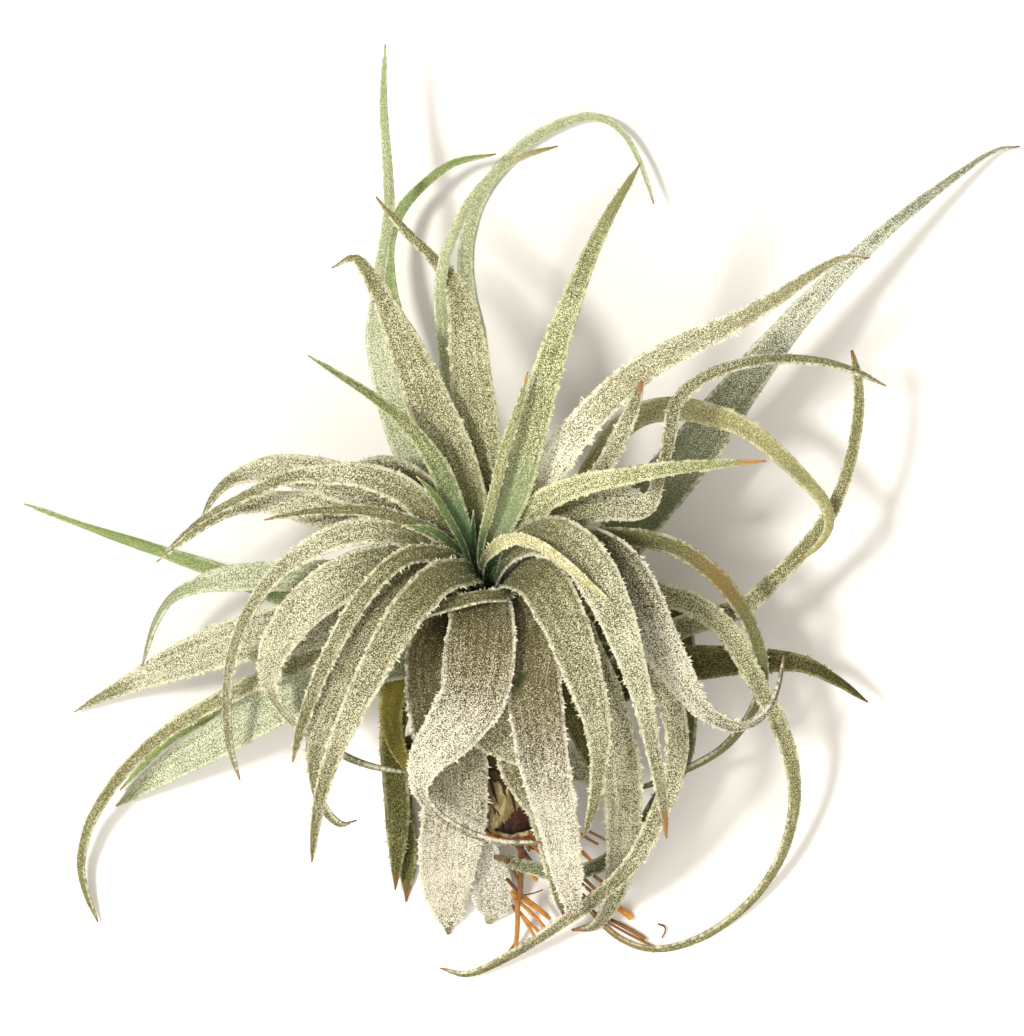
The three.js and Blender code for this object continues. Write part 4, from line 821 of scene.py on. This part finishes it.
BASE_MM = (11.0, 27.0)  # from where to where it gives way to the young tissue


def blade_measures(tree):
    """The blade's own measures: all three, along in mm, mm from the margin, cover, dryness."""
    blade = add(tree, "ShaderNodeAttribute", attribute_name="blade")
    parts = add(tree, "ShaderNodeSeparateXYZ", {0: blade.outputs["Vector"]})
    rim, cover, dry = (
        add(tree, "ShaderNodeAttribute", attribute_name=kind).outputs["Fac"]
        for kind in ("rim", "cover", "dry")
    )
    return blade.outputs["Vector"], parts.outputs[1], rim, cover, dry


def scale_tint(tree, look, cover):
    """The scales' own colour: small and dull where they are few, broad and pale where dense."""
    thin, thick = LOOKS[look][2:4]
    return layered(tree, thin, [(cover, 0.05, 0.5, 0, 1, thick)])


def suede_skin(look):
    """Leaf skin under its scales: waxy tissue, matt, speckled, streaked along the veins."""
    skin, grain, _, thick, young_tint_and_shade, tip, _, _, _, fresh = LOOKS[look]
    finish, tree, shader = new_finish(f"{look}_scaled_leaf_skin")
    where = add(tree, "ShaderNodeTexCoord").outputs["Object"]
    blade, along, rim, cover, dry = blade_measures(tree)
    drawn_out = {0: blade, 1: (1 / STREAK_MM, 0.04 / STREAK_MM, 0.0)}
    lines = add(tree, "ShaderNodeVectorMath", drawn_out, operation="MULTIPLY").outputs[0]
    speckle, clouds, veins, tufts = (
        add(tree, "ShaderNodeTexNoise", {"Vector": place, "Scale": scale, **detail}).outputs[0]
        for place, scale, detail in (
            (where, 1 / (GRAIN_MM * MM), {"Detail": 2.0, "Roughness": 0.6}),
            (where, 1 / (PATCH_MM * MM), {}),
            (lines, 1.0, {"Detail": 2.0}),
            (blade, TUFTS_PER_MM, {"Detail": 2.0}),
        )
    )
    # what a layer follows, its two bounds, its strength at each, its tint
    tissue = layered(tree, skin, [
        (speckle, 0.42, 0.5, 1.0, 0.0, grain),
        (veins, 0.34, 0.5, 0.25, 0.0, grain),
        # the young tissue's green near the heart, deepened as painted shade among the leaves
        (along, 0.4 * fresh, fresh, 0.8, 0.0, young_tint_and_shade),
        # painted shade deep in the heart: the base turns dark green
        (along, *BASE_MM, 0.95, 0.0, HEART_BASE_GREEN_AND_SHADE),
        (cover, -0.4, -0.02, 0.9, 0.0, BARE_TISSUE),
    ])
    # The scales close up from grain to grain as their cover grows, less evenly along the veins
    # and in clouds.
    smooth = {"interpolation_type": "SMOOTHSTEP"}
    height = speckle
    for pattern, swing in ((veins, 0.03), (clouds, 0.02)):
        ends = {"From Min": 0.3, "From Max": 0.7, "To Min": -swing, "To Max": swing}
        uneven = add(tree, "ShaderNodeMapRange", {"Value": pattern, **ends}, **smooth)
        height = add(tree, "ShaderNodeMath", {0: height, 1: uneven.outputs[0]}).outputs[0]
    heaped = {0: cover, 1: COVER_LIFT, 2: height}
    raised = add(tree, "ShaderNodeMath", heaped, operation="MULTIPLY_ADD").outputs[0]
    ends = {"From Min": 0.4, "From Max": 0.6, "To Min": 0.15, "To Max": 0.75}
    tufted = add(tree, "ShaderNodeMapRange", {"Value": tufts, **ends}, **smooth).outputs[0]
    colour = layered(tree, tissue, [
        (raised, 0.605, 0.695, 0.0, 1.0, scale_tint(tree, look, cover)),
        (rim, 0.2 * RIM_MM, RIM_MM, tufted, 0.0, thick),
        # painted shade deep in the heart, laid over the scales as well
        (along, *BASE_MM, 0.57, 0.0, HEART_BASE_GREEN_AND_SHADE),
    ])
    colour = layered(tree, colour, [(dry, 0, 1, 0, 1, tip)], "LINEAR")
    grains = {"Height": speckle, "Strength": 0.4, "Distance": 0.2 * MM}
    relief = add(tree, "ShaderNodeBump", grains).outputs[0]
    tree.links.new(colour, shader.inputs["Base Color"])
    tree.links.new(relief, shader.inputs["Normal"])
    shader.inputs["Roughness"].default_value = 0.85
    shader.inputs["Specular IOR Level"].default_value = 0.2
    shader.inputs["Sheen Weight"].default_value = 0.04
    shader.inputs["Sheen Roughness"].default_value = 0.5
    return finish


def trichome_down(look):
    """Dry trichome scales: pale, matt and papery, tinted and darkened with painted shade near the
    heart, brown at the tip.
    """
    _, grain, _, _, young_tint_and_shade, tip, _, _, _, fresh = LOOKS[look]
    finish, tree, shader = new_finish(f"{look}_trichome_scales")
    _, along, _, cover, dry = blade_measures(tree)
    tone = add(tree, "ShaderNodeAttribute", attribute_name="tone").outputs["Fac"]
    colour = layered(tree, scale_tint(tree, look, cover), [
        (tone, 0.55, 1.0, 0.0, 0.35, grain),
        # the young tissue's green near the heart, deepened as painted shade among the leaves
        (along, 0.4 * fresh, fresh, 0.35, 0.0, young_tint_and_shade),
        # painted shade deep in the heart, on the trichomes too
        (along, *BASE_MM, 0.6, 0.0, HEART_BASE_GREEN_AND_SHADE),
    ])
    colour = layered(tree, colour, [(dry, 0, 1, 0, 1, tip)], "LINEAR")
    tree.links.new(colour, shader.inputs["Base Color"])
    shader.inputs["Roughness"].default_value = 0.75
    shader.inputs["Specular IOR Level"].default_value = 0.25
    return finish


SKINS = {look: suede_skin(look) for look in LOOKS}
COATS = {look: trichome_down(look) for look in LOOKS}
print("leaf finishes:", len(SKINS) + len(COATS))

# %% [markdown]
# ## All of the leaves
#
# The leaves that hang over the front are silver. Those of the heart are greener and smoother, the
# ones at the sides and at the back are sage, one at the back is pale with a painted highlight where
# its base rises into the light, and a few old ones under the front are dark. Two leaves that lie in
# shade get a look darkened as painted shade. Each leaf stands for the imported leaf of the same name
# and stays where that one is. Most tips are dry for three millimetres, some are fresh, a few are dry
# for longer, and one leaf has a dry stretch before its tail.

# %% Which leaf has which look, dry tip and bare spots
def leaf_names(**sides):
    """Leaves' names from their numbers on each side."""
    return [f"{side}_leaf_{number}" for side, numbers in sides.items() for number in numbers]


LOOK_OF = {
    "spire": leaf_names(heart=[1, 2, 3]),
    "lemon": leaf_names(heart=[7]),
    "moss": leaf_names(heart=[4]),
    "mint": leaf_names(heart=[5], right=[1]),
    "celadon": leaf_names(heart=[6]),
    "straw": leaf_names(front=[1, 2, 3, 4, 5, 10, 12, 13], left=[1], right=[7]),
    "pale": leaf_names(left=[2, 3, 4, 5, 6, 7, 9], right=[2, 4], back=[2]),
    "sage": leaf_names(right=[6, 10], back=[5, 6], left=[11]),
    "gold": leaf_names(back=[3]),
    "dusk": leaf_names(back=[4]),
    "pale_lit_base": leaf_names(back=[1]),
    "tawny": leaf_names(right=[5]),
    "cool": leaf_names(left=[8, 10]),
    "thread": leaf_names(back=[7, 8, 9]),
    "bright": leaf_names(left=[12, 13], back=[10]),
    "dark": leaf_names(left=[15, 16]),
    "ochre": leaf_names(left=[14]),
    "shaded": leaf_names(right=[8]),
    # these two leaves lie in shade and get the look darkened as painted shade
    "shaded_slate": leaf_names(right=[9], front=[11]),
    "warm": leaf_names(front=[6, 7, 8]),
    "frost": leaf_names(front=[9]),
}
LOOK_BY_LEAF = {leaf: look for look, leaves in LOOK_OF.items() for leaf in leaves}
# leaves whose coat closes farther out, and by what share
LATE_COAT = {"front_leaf_7": 1.35, "front_leaf_8": 1.5}
# trichomes on the faces, on the margins, and their length, as shares of a full coat
COAT_OF = {
    "spire": (0.1, 0.2, 0.5), "lemon": (0.6, 1.0, 0.8), "celadon": (0.45, 1.0, 0.8),
    "mint": (0.45, 1.0, 0.8), "moss": (0.4, 0.8, 0.7), "sage": (0.4, 1.0, 0.85),
    "gold": (0.35, 0.8, 0.7), "pale_lit_base": (0.5, 1.3, 1.1), "dusk": (0.3, 0.8, 0.7),
    "tawny": (0.3, 0.7, 0.8), "cool": (0.3, 0.6, 0.7), "frost": (0.5, 0.8, 0.9),
    "bright": (0.1, 0.15, 0.5), "thread": (0.15, 0.4, 0.5), "dark": (0.35, 0.7, 0.8),
    "ochre": (0.3, 0.6, 0.8), "shaded": (0.4, 0.7, 0.8), "shaded_slate": (0.35, 0.6, 0.7),
    "pale": (0.6, 1.0, 0.9), "straw": (0.6, 1.0, 0.9),
}
FULL_COAT = (0.8, 1.0, 1.0)
DRY_TIP_MM = 3.0
FRESH_TIPS = leaf_names(
    heart=[1, 2, 3, 4, 7], left=[2, 4, 5, 8, 9, 10, 13], back=[6, 9], front=[8, 9]
)
DRY_TIPS = dict.fromkeys(FRESH_TIPS, 0) | {
    "right_leaf_2": 10, "right_leaf_6": 26, "left_leaf_16": 5, "left_leaf_15": 5,
    "heart_leaf_6": 30, "right_leaf_1": 8, "back_leaf_7": 16,
}
DRY_PATCHES = {"right_leaf_5": (87, 11, 0.5)}  # middle and reach in mm, share
BARE_SPOTS = {  # x, y and radius in mm
    "front_leaf_7": [(1.4, -37.8, 0.6), (2.4, -39, 0.7), (1.0, -40.2, 0.8), (2.0, -41.4, 0.6),
                     (1.2, -42.8, 0.5)],
}
SMOOTH_BASED = leaf_names(heart=range(1, 8), right=[1])  # young leaves with a smooth base

# %% Every leaf with its coat
def joined(name, parts):
    """Several objects as one, under one name."""
    bpy.ops.object.select_all(action="DESELECT")
    for part in parts:
        part.select_set(True)
    bpy.context.view_layer.objects.active = parts[0]
    bpy.ops.object.join()
    parts[0].name = name
    return parts[0]


triangles = {}
for order, (name, row) in enumerate(LEAVES.items()):
    look = LOOK_BY_LEAF.get(name, "silver")
    near, far, reach = LOOKS[look][6:9]
    rng = np.random.default_rng(SEED + order)
    shape = blade_shape(rng, *row)
    clothed(shape, near, far, reach * LATE_COAT.get(name, 1), DRY_TIPS.get(name, DRY_TIP_MM),
            BARE_SPOTS.get(name, ()), DRY_PATCHES.get(name))
    leaf = lay_blade(f"{name}_with_down", shape)
    smooth_mm = YOUNG_BASE if name in SMOOTH_BASED else HIDDEN_BASE
    coat = trichomes(rng, f"{name}_down", shape, *COAT_OF.get(look, FULL_COAT), smooth_mm)
    leaf.data.materials.append(SKINS[look])
    coat.data.materials.append(COATS[look])
    joined(leaf.name, [leaf, coat])
    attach(leaf, "root")
    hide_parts(name)
    triangles[name] = sum(len(face.vertices) - 2 for face in leaf.data.polygons)
print("triangles of the leaves:", sum(triangles.values()), "most:", max(triangles.values()))

# %% [markdown]
# ## The stem
#
# The stem itself is a short woody core. What is seen of it are the bases of leaves that have long
# gone: each clasped the core like a cupped hand and left its dry remains, green-tan near the heart
# and brown towards the root end. The core grows from a disc that is extruded and scaled ring by
# ring along its outline. One clasping base is modelled, a small grid curled round the stem and
# given a wall, and its copies climb the core by the golden angle, as leaves do.

# %% The woody core of the stem
STEM_OUTLINE = [  # radius and distance from the root end, in millimetres
    (6.2, 0), (7.0, 3), (7.2, 10), (7.2, 24), (6.4, 40), (4.8, 56), (2.9, 69), (1.2, 76),
]
CORE_SIDES = 24


def along_stem(piece):
    """Lays a piece that was made upright on the origin along the stem, from its root end."""
    piece.rotation_euler = Vector(STEM_WAY).to_track_quat("Z", "Y").to_euler()
    piece.location = in_metres(STEM_FOOT)
    bpy.ops.object.select_all(action="DESELECT")
    piece.select_set(True)
    bpy.context.view_layer.objects.active = piece
    bpy.ops.object.transform_apply(location=True, rotation=True, scale=True)


def round_body(name, outline, sides):
    """A round body, extruded and scaled from a disc, ring by ring, upright on the origin."""
    bpy.ops.object.select_all(action="DESELECT")
    bpy.ops.mesh.primitive_circle_add(
        vertices=sides, radius=outline[0][0] * MM, fill_type="NGON", location=(0, 0, outline[0][1] * MM)
    )
    body = bpy.context.object
    body.name = name
    bpy.ops.object.mode_set(mode="EDIT")
    bpy.ops.mesh.select_all(action="SELECT")
    for (wide, low), (next_wide, high) in zip(outline, outline[1:]):
        step = {"value": (0, 0, (high - low) * MM)}
        bpy.ops.mesh.extrude_region_move(TRANSFORM_OT_translate=step)
        share = next_wide / wide
        bpy.ops.transform.resize(value=(share, share, 1), center_override=(0, 0, 0))
    bpy.ops.mesh.select_all(action="SELECT")
    bpy.ops.mesh.normals_make_consistent(inside=False)
    bpy.ops.object.mode_set(mode="OBJECT")
    bpy.ops.object.shade_smooth_by_angle(angle=math.radians(50))
    return body


core = round_body("stem_core", STEM_OUTLINE, CORE_SIDES)
stamp(core.data, "rise", "FLOAT", [v.co.z / MM for v in core.data.vertices])
print("faces of the core:", len(core.data.polygons))

# %% Old leaf bases that clasp the core
BASE_COUNT = 64
BASE_LONG = (9.0, 15.0)
BASE_HALF_ANGLE = 62  # degrees that a base reaches round the stem to each side
BASE_WALL = 0.5
BASE_CELLS = (8, 6)
FLATTENED = 10  # how much thinner the wall of the flat grid is made than it ends up
BASE_TAPER = 0.45  # share of a base's length from which it tapers
GOLDEN_ANGLE = 137.508
FIRST_BASE, LAST_BASE = 5.0, 58.0  # millimetres up the stem

rng = np.random.default_rng(SEED + 100)
one_base, _ = flat_grid("one_clasping_base", *BASE_CELLS)
give_wall(one_base, BASE_WALL / FLATTENED)
base_points = np.array([v.co for v in one_base.data.vertices])
base_faces = [list(face.vertices) for face in one_base.data.polygons]
bpy.data.objects.remove(one_base)

points, faces, rises = [], [], []
for k in range(BASE_COUNT):
    rise = FIRST_BASE + (LAST_BASE - FIRST_BASE) * k / (BASE_COUNT - 1)
    long = rng.uniform(*BASE_LONG)
    u, v, w = base_points[:, 0], (base_points[:, 1] + 1) / 2, base_points[:, 2] * FLATTENED
    tapered = np.maximum(v - BASE_TAPER, 0) / (1 - BASE_TAPER)
    narrow = 1 - tapered**1.6
    angle = np.radians(k * GOLDEN_ANGLE + u * BASE_HALF_ANGLE * np.maximum(narrow, 0.05))
    s = rise - 2 + v * long + 0.5 * rng.normal() * u
    wide = np.interp(s, *zip(*[(high, r) for r, high in STEM_OUTLINE]))
    out = wide + 0.25 + w + 0.5 * v + rng.uniform(0.1, 0.9) * v**3 + 0.1 * np.sin(9 * u + k)
    base = np.stack([out * np.cos(angle), out * np.sin(angle), s], axis=-1)
    faces += [[i + len(base_points) * k for i in face] for face in base_faces]
    points.append(base)
    rises.append(s)
mesh = bpy.data.meshes.new("clasping_bases")
mesh.from_pydata(np.concatenate(points) * MM, [], faces)
bases = bpy.data.objects.new("clasping_bases", mesh)
bpy.context.collection.objects.link(bases)
stamp(mesh, "rise", "FLOAT", np.concatenate(rises))
bases.select_set(True)
bpy.context.view_layer.objects.active = bases
bpy.ops.object.shade_smooth()
print("clasping bases:", BASE_COUNT)

# %% [markdown]
# ## The dry sheath
#
# Round the root end the oldest bases have dried to a papery sheath. It has split into strips that
# curl off the stem, its upper side is torn open on a dark hollow, and its lip is a hard,
# orange-brown rim. It is a wrap of paper: a grid is rolled round the stem, the faces of the splits
# and of the torn hollow are deleted, and a Solidify modifier gives it a wall. The lip is a thin
# bent wire along its edge.

# %% A torn wrap of paper
WRAP_RADIUS = 8.0
WRAP_FROM = -0.6
WRAP_LONG = (17.5, 20.0)  # millimetres up the stem that its ragged strips reach
WRAP_WALL = 0.4
WRAP_CURL = (0.1, 1.9)  # millimetres that a strip's tip curls off the stem
WRAP_FOLD, WRAP_PLEAT = 0.4, 0.2  # height of its broad folds and of its fine ones
WRAP_CELLS = (72, 16)
WRAP_HALF_TURN = 184  # degrees that the wrap reaches to each side, a little over half a turn
WRAP_STRIPS = 7
SPLIT_FROM = 0.86  # share of their length from which the strips are split
HOLLOW_FROM = 1.1  # millimetres up the stem where the torn hollow begins
HOLLOW_ANGLES = (-55, -20, 15, 70)  # degrees round the stem from its upper side
HOLLOW_TO = (1.1, 5.5, 10.5, 12.5)  # millimetres up the stem that it reaches at these angles

rng = np.random.default_rng(SEED + 200)
wrap, flat = flat_grid("dry_wrap", *WRAP_CELLS)
bpy.ops.object.mode_set(mode="EDIT")
bpy.ops.mesh.select_mode(type="FACE")
bpy.ops.mesh.select_all(action="DESELECT")
bpy.ops.object.mode_set(mode="OBJECT")
turn, v = flat[:, 0] * WRAP_HALF_TURN, (flat[:, 1] + 1) / 2
strip = (turn + WRAP_HALF_TURN) / (2 * WRAP_HALF_TURN) * WRAP_STRIPS
strip_number = np.minimum(strip.astype(int), WRAP_STRIPS - 1)
strip_long = rng.uniform(*WRAP_LONG, WRAP_STRIPS)[strip_number]
curl = rng.uniform(*WRAP_CURL, WRAP_STRIPS)[strip_number]
peak = 1 - 0.14 * np.abs(2 * (strip - strip_number) - 1) ** 2 - 0.05 * np.sin(strip * 19)
s = WRAP_FROM + v * (strip_long * peak - WRAP_FROM)
angle = np.radians(turn)
fold = WRAP_FOLD * np.sin(angle * 11) + WRAP_PLEAT * np.sin(angle * 23 + 1.3 + v * 6)
drawn_in, curled = 0.5 * np.exp(-v * 6), curl * np.clip(v - 0.4, 0, 1) ** 2
out = WRAP_RADIUS - drawn_in + fold * np.clip(v * 4, 0, 1) + curled
rolled = np.stack([out * np.cos(angle), out * np.sin(angle), s], axis=-1) * MM
wrap.data.vertices.foreach_set("co", rolled.ravel())
stamp(wrap.data, "rise", "FLOAT", s)
skyward = Vector(STEM_WAY).to_track_quat("Z", "Y").inverted() @ Vector((0, 0, 1))
top = math.degrees(math.atan2(skyward.y, skyward.x))
for face in wrap.data.polygons:
    corner = face.vertices[0]
    off_top = (turn[corner] - top + 180) % 360 - 180
    reach = np.interp(off_top, HOLLOW_ANGLES, HOLLOW_TO, left=0, right=0)
    torn = HOLLOW_FROM < s[corner] < reach
    between = abs(strip[corner] - round(strip[corner])) < 0.5 * WRAP_STRIPS / WRAP_CELLS[0]
    face.select = torn or (between and v[corner] > SPLIT_FROM)
bpy.ops.object.mode_set(mode="EDIT")
bpy.ops.mesh.delete(type="FACE")
bpy.ops.object.mode_set(mode="OBJECT")
give_wall(wrap, WRAP_WALL * MM)
bpy.ops.object.shade_smooth()
print("faces of the wrap:", len(wrap.data.polygons), "upper side at", round(top), "degrees")

# %% Wires: the rim of the sheath and the roots
WIRE_SIDES = 1  # a wire of six sides, in Blender's measure


def wire(name, route, radii, tone=0.5):
    """A round wire through five points in mm, with a radius in mm at each, as a mesh."""
    bpy.ops.object.select_all(action="DESELECT")
    bpy.ops.curve.primitive_nurbs_path_add(radius=1)
    path = bpy.context.object
    path.name = name
    for point, place, radius in zip(path.data.splines[0].points, route, radii):
        point.co = (*(np.asarray(place) * MM), 1)
        point.radius = radius
    path.data.bevel_depth = MM
    path.data.bevel_resolution = WIRE_SIDES
    path.data.resolution_u = 5
    path.data.use_fill_caps = True
    bpy.ops.object.convert(target="MESH")
    made = bpy.context.object
    bpy.ops.object.shade_smooth_by_angle(angle=math.radians(60))
    from_start = np.array([(v.co / MM - Vector(route[0])).length for v in made.data.vertices])
    stamp(made.data, "tone", "FLOAT", tone + 0.25 * from_start / from_start.max())
    return made


RIM_PARTS = 8
RIM_RADIUS, RIM_WOBBLE = 7.8, 0.25
ring = []
for k in range(RIM_PARTS):
    angles = np.radians((np.arange(5) / 4 + k) * 360 / RIM_PARTS)
    wide = RIM_RADIUS + RIM_WOBBLE * np.sin(3 * angles)
    high = 0.3 * np.sin(2 * angles)
    route = np.stack([wide * np.cos(angles), wide * np.sin(angles), high], axis=-1)
    stretched = route.copy()
    stretched[0] -= (route[1] - route[0]) * 0.5
    stretched[4] += (route[4] - route[3]) * 0.5
    ring.append(wire(f"rim_{k}", stretched, (0.7, 0.75, 0.8, 0.75, 0.7), 0.35))
rim = joined("sheath_rim", ring)
print("faces of the rim:", len(rim.data.polygons))

# %% [markdown]
# ## The roots
#
# An air plant's roots are holdfasts: hard brown wires, a millimetre or so thick, that once gripped
# a branch. They come out of the stem's foot in a tuft, dark where they are oldest and amber where
# they are newest, and most are cut or broken off bluntly. Those that show are laid where they are
# seen. The others, hidden behind the leaves, are spread by a seeded rule over the same fan.

# %% The roots that show, as x, y, z of their start, bend and end, their radius and their tone
SEEN_ROOTS = [
    ([2.2, -80, 33], [2.4, -88, 25], [2.0, -96, 16], 0.75, 0.1),
    ([1.4, -96, 16], [1.5, -103, 9], [0.9, -108.5, 2.5], 0.62, 0.55),
    ([1.0, -107.5, 2.6], [0.2, -109, 1.5], [-0.8, -110.5, 0.7], 0.42, 0.35),
    ([-1.2, -86, 28], [0.5, -89.5, 23], [2.2, -92, 20], 0.45, 0.15),
    ([-1.2, -91, 21], [0.5, -93.2, 18], [2.2, -95, 15], 0.45, 0.15),
    ([2.6, -88, 26], [4.2, -89.8, 23], [6.2, -91.2, 20], 0.55, 0.75),
    ([-0.2, -94.5, 17], [4.6, -97.5, 12], [9.6, -101.5, 6], 0.5, 0.75),
    ([0.4, -96, 15], [4.4, -99, 11], [8.6, -104, 5], 0.42, 0.8),
    ([2.4, -95, 16], [5.6, -97.6, 12], [9.0, -100.6, 8], 0.4, 0.6),
    ([1.6, -99, 11], [3.2, -102, 7], [5.4, -105.6, 3], 0.42, 0.85),
    ([2.2, -100, 10], [4.6, -103, 6], [7.2, -105.4, 3], 0.38, 0.85),
    ([3.0, -95.2, 15], [5.2, -94.9, 15], [7.8, -93.9, 15], 0.17, 0.1),
    ([0.2, -98, 11], [0.8, -99.4, 9], [1.6, -100, 8], 0.5, 0.3),
    ([16.8, -83.2, 22], [19, -85.6, 18], [21, -87.6, 14], 0.5, 0.7),
    ([17.6, -79.4, 26], [19.4, -81, 23], [21.6, -82.2, 20], 0.42, 0.25),
    ([19.6, -79, 25], [21.6, -80, 22], [23.8, -81.2, 19], 0.42, 0.3),
    ([17, -89.8, 17], [19.2, -92.2, 13], [21.2, -94.2, 10], 0.45, 0.2),
    ([17, -91.8, 15], [18.8, -93.6, 12], [20.6, -94.8, 10], 0.42, 0.2),
    ([20.8, -90.4, 14], [21.8, -91.2, 12], [23.0, -92.2, 11], 0.5, 0.4),
    ([16.6, -94.6, 11], [18.0, -95.6, 9], [19.0, -96.6, 8], 0.7, 0.15),
    ([26.4, -98.2, 4.5], [28.2, -99.8, 3], [30.2, -101.4, 1.6], 0.8, 0.85),
    ([17.2, -96, 9], [23.0, -102.4, 4], [35.0, -108.3, 2.2], 0.34, 0.2),
    ([24.4, -101.6, 3], [29.2, -103.8, 2.4], [33.8, -106.8, 2], 0.5, 0.2),
    ([37.0, -103.0, 2], [39.8, -103.6, 1.6], [38.0, -106.6, 1.2], 0.22, 0.1),
]
HIDDEN_ROOTS = 26
CROWN_WIDE = 3.4  # millimetres round the crown's middle that they start from
ROOT_FAN = (-62, -18)  # bearings in degrees from +X, seen from above
ROOT_REACH = (6, 12)
ROOT_RADIUS = (0.3, 0.55)
ROOT_FALL = 1.1  # how far a hidden root drops on each millimetre that it reaches out
KINK = 0.25  # how far a seen root bends off its straight stretches, as a share of its radius
BEND, BEND_AT = 0.5, (0, 1, 1, 1, 0.6)  # how much a hidden one bends, and at which of its points

rng = np.random.default_rng(SEED + 300)
shared = STEM_FOOT - STEM_WAY * 1.5
wires = []
for number, (start, bend, end, radius, tone) in enumerate(SEEN_ROOTS):
    start, bend, end = (np.array(p, float) - MIDDLE for p in (start, bend, end))
    kink = [rng.normal(0, KINK, 3) * radius for _ in range(2)]
    route = [start, (start + bend) / 2 + kink[0], bend, (bend + end) / 2 + kink[1], end]
    radii = radius * rng.uniform(0.85, 1.15, 5)
    wires.append(wire(f"seen_root_{number}", route, radii, tone))
for number in range(HIDDEN_ROOTS):
    bearing = np.radians(rng.uniform(*ROOT_FAN))
    reach = rng.uniform(*ROOT_REACH)
    radius = rng.uniform(*ROOT_RADIUS)
    start = shared - MIDDLE + rng.uniform(-CROWN_WIDE, CROWN_WIDE, 3) * (1, 0.9, 0.6)
    ray = np.array([math.cos(bearing), math.sin(bearing), -ROOT_FALL])
    end = start + ray * reach
    route = [start + (end - start) * share for share in (0, 0.25, 0.5, 0.75, 1)]
    route = [place + rng.normal(0, BEND, 3) * share for place, share in zip(route, BEND_AT)]
    for place in route:
        place[2] = max(place[2], radius + 0.2)
    radii = radius * np.linspace(1.15, 0.8, 5)
    wires.append(wire(f"hidden_root_{number}", route, radii, rng.uniform(0.0, 0.45)))
CROWN = [(4.3, -0.4), (4.4, -1.6), (3.2, -3.0), (1.2, -3.6)]  # radius and place along the stem
crown = round_body("root_crown", CROWN, 16)
along_stem(crown)
roots = joined("roots_with_fibres", [*wires, crown])
print("roots:", len(wires), "faces:", len(roots.data.polygons))

# %% Woody and papery finishes
BARK_MM = 2.2  # across the fibres of the bark


def fibrous(name, dark, light, glow, attribute, low, high, shine, along_way):
    """Dry plant fibre: streaked along one way, from dark to light by a measure of the piece."""
    finish, tree, shader = new_finish(name)
    where = add(tree, "ShaderNodeTexCoord").outputs["Object"]
    way = {0: where, 1: along_way}
    drawn_out = add(tree, "ShaderNodeVectorMath", way, operation="MULTIPLY").outputs[0]
    fibres = {"Vector": drawn_out, "Scale": 1 / (BARK_MM * MM), "Detail": 4.0, "Roughness": 0.65}
    streaks = add(tree, "ShaderNodeTexNoise", fibres).outputs[0]
    measure = add(tree, "ShaderNodeAttribute", attribute_name=attribute).outputs["Fac"]
    colour = layered(tree, dark, [
        (measure, low, high, 0.0, 1.0, light),
        (streaks, 0.48, 0.72, 0.0, 0.75, glow),
    ], "LINEAR")
    ridges = {"Height": streaks, "Strength": 0.6, "Distance": 0.3 * MM}
    relief = add(tree, "ShaderNodeBump", ridges).outputs[0]
    tree.links.new(colour, shader.inputs["Base Color"])
    tree.links.new(relief, shader.inputs["Normal"])
    shader.inputs["Roughness"].default_value = shine
    shader.inputs["Specular IOR Level"].default_value = 0.35
    return finish


EVENLY, ACROSS_STEM = (1, 1, 1), (1.6, 0.5, 0.5)  # how closely the streaks stand in x, y, z
FINISHES = (
    # piece, name, dark, light, streaks, what it turns light by, from, to, roughness, streaks' way
    (core, "dark_woody_core", "#170b06", "#2f1a0d", "#5a2f14", "rise", 0, 60, 0.7, ACROSS_STEM),
    (bases, "dry_clasping_leaf_bases", "#34190b", "#6f6840", "#6b3a1a", "rise", 16, 40, 0.8,
     ACROSS_STEM),
    (wrap, "papery_dry_sheath", "#6e5a34", "#7d7148", "#cfc392", "rise", 0, 16, 0.75, ACROSS_STEM),
    (rim, "hard_amber_rim", "#3f1807", "#8a4516", "#b0662a", "tone", 0, 1, 0.3, EVENLY),
    (roots, "wiry_root_bark", "#2a1006", "#e09a3c", "#8f4c1c", "tone", 0.1, 1.0, 0.45, EVENLY),
)
for piece, *look in FINISHES:
    piece.data.materials.append(fibrous(*look))

for piece in (core, bases, wrap, rim):
    along_stem(piece)
stem = joined("stem_with_leaf_bases", [core, bases])
sheath = joined("dry_sheath_with_rim", [wrap, rim])
STANDS_FOR = ((stem, "stem", "stem"), (sheath, "dry_sheath", "dry_sheath"), (roots, "roots", "root"))
for piece, node, slot in STANDS_FOR:
    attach(piece, "root")
    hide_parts(node)
    print(piece.name, "triangles:", sum(len(face.vertices) - 2 for face in piece.data.polygons))
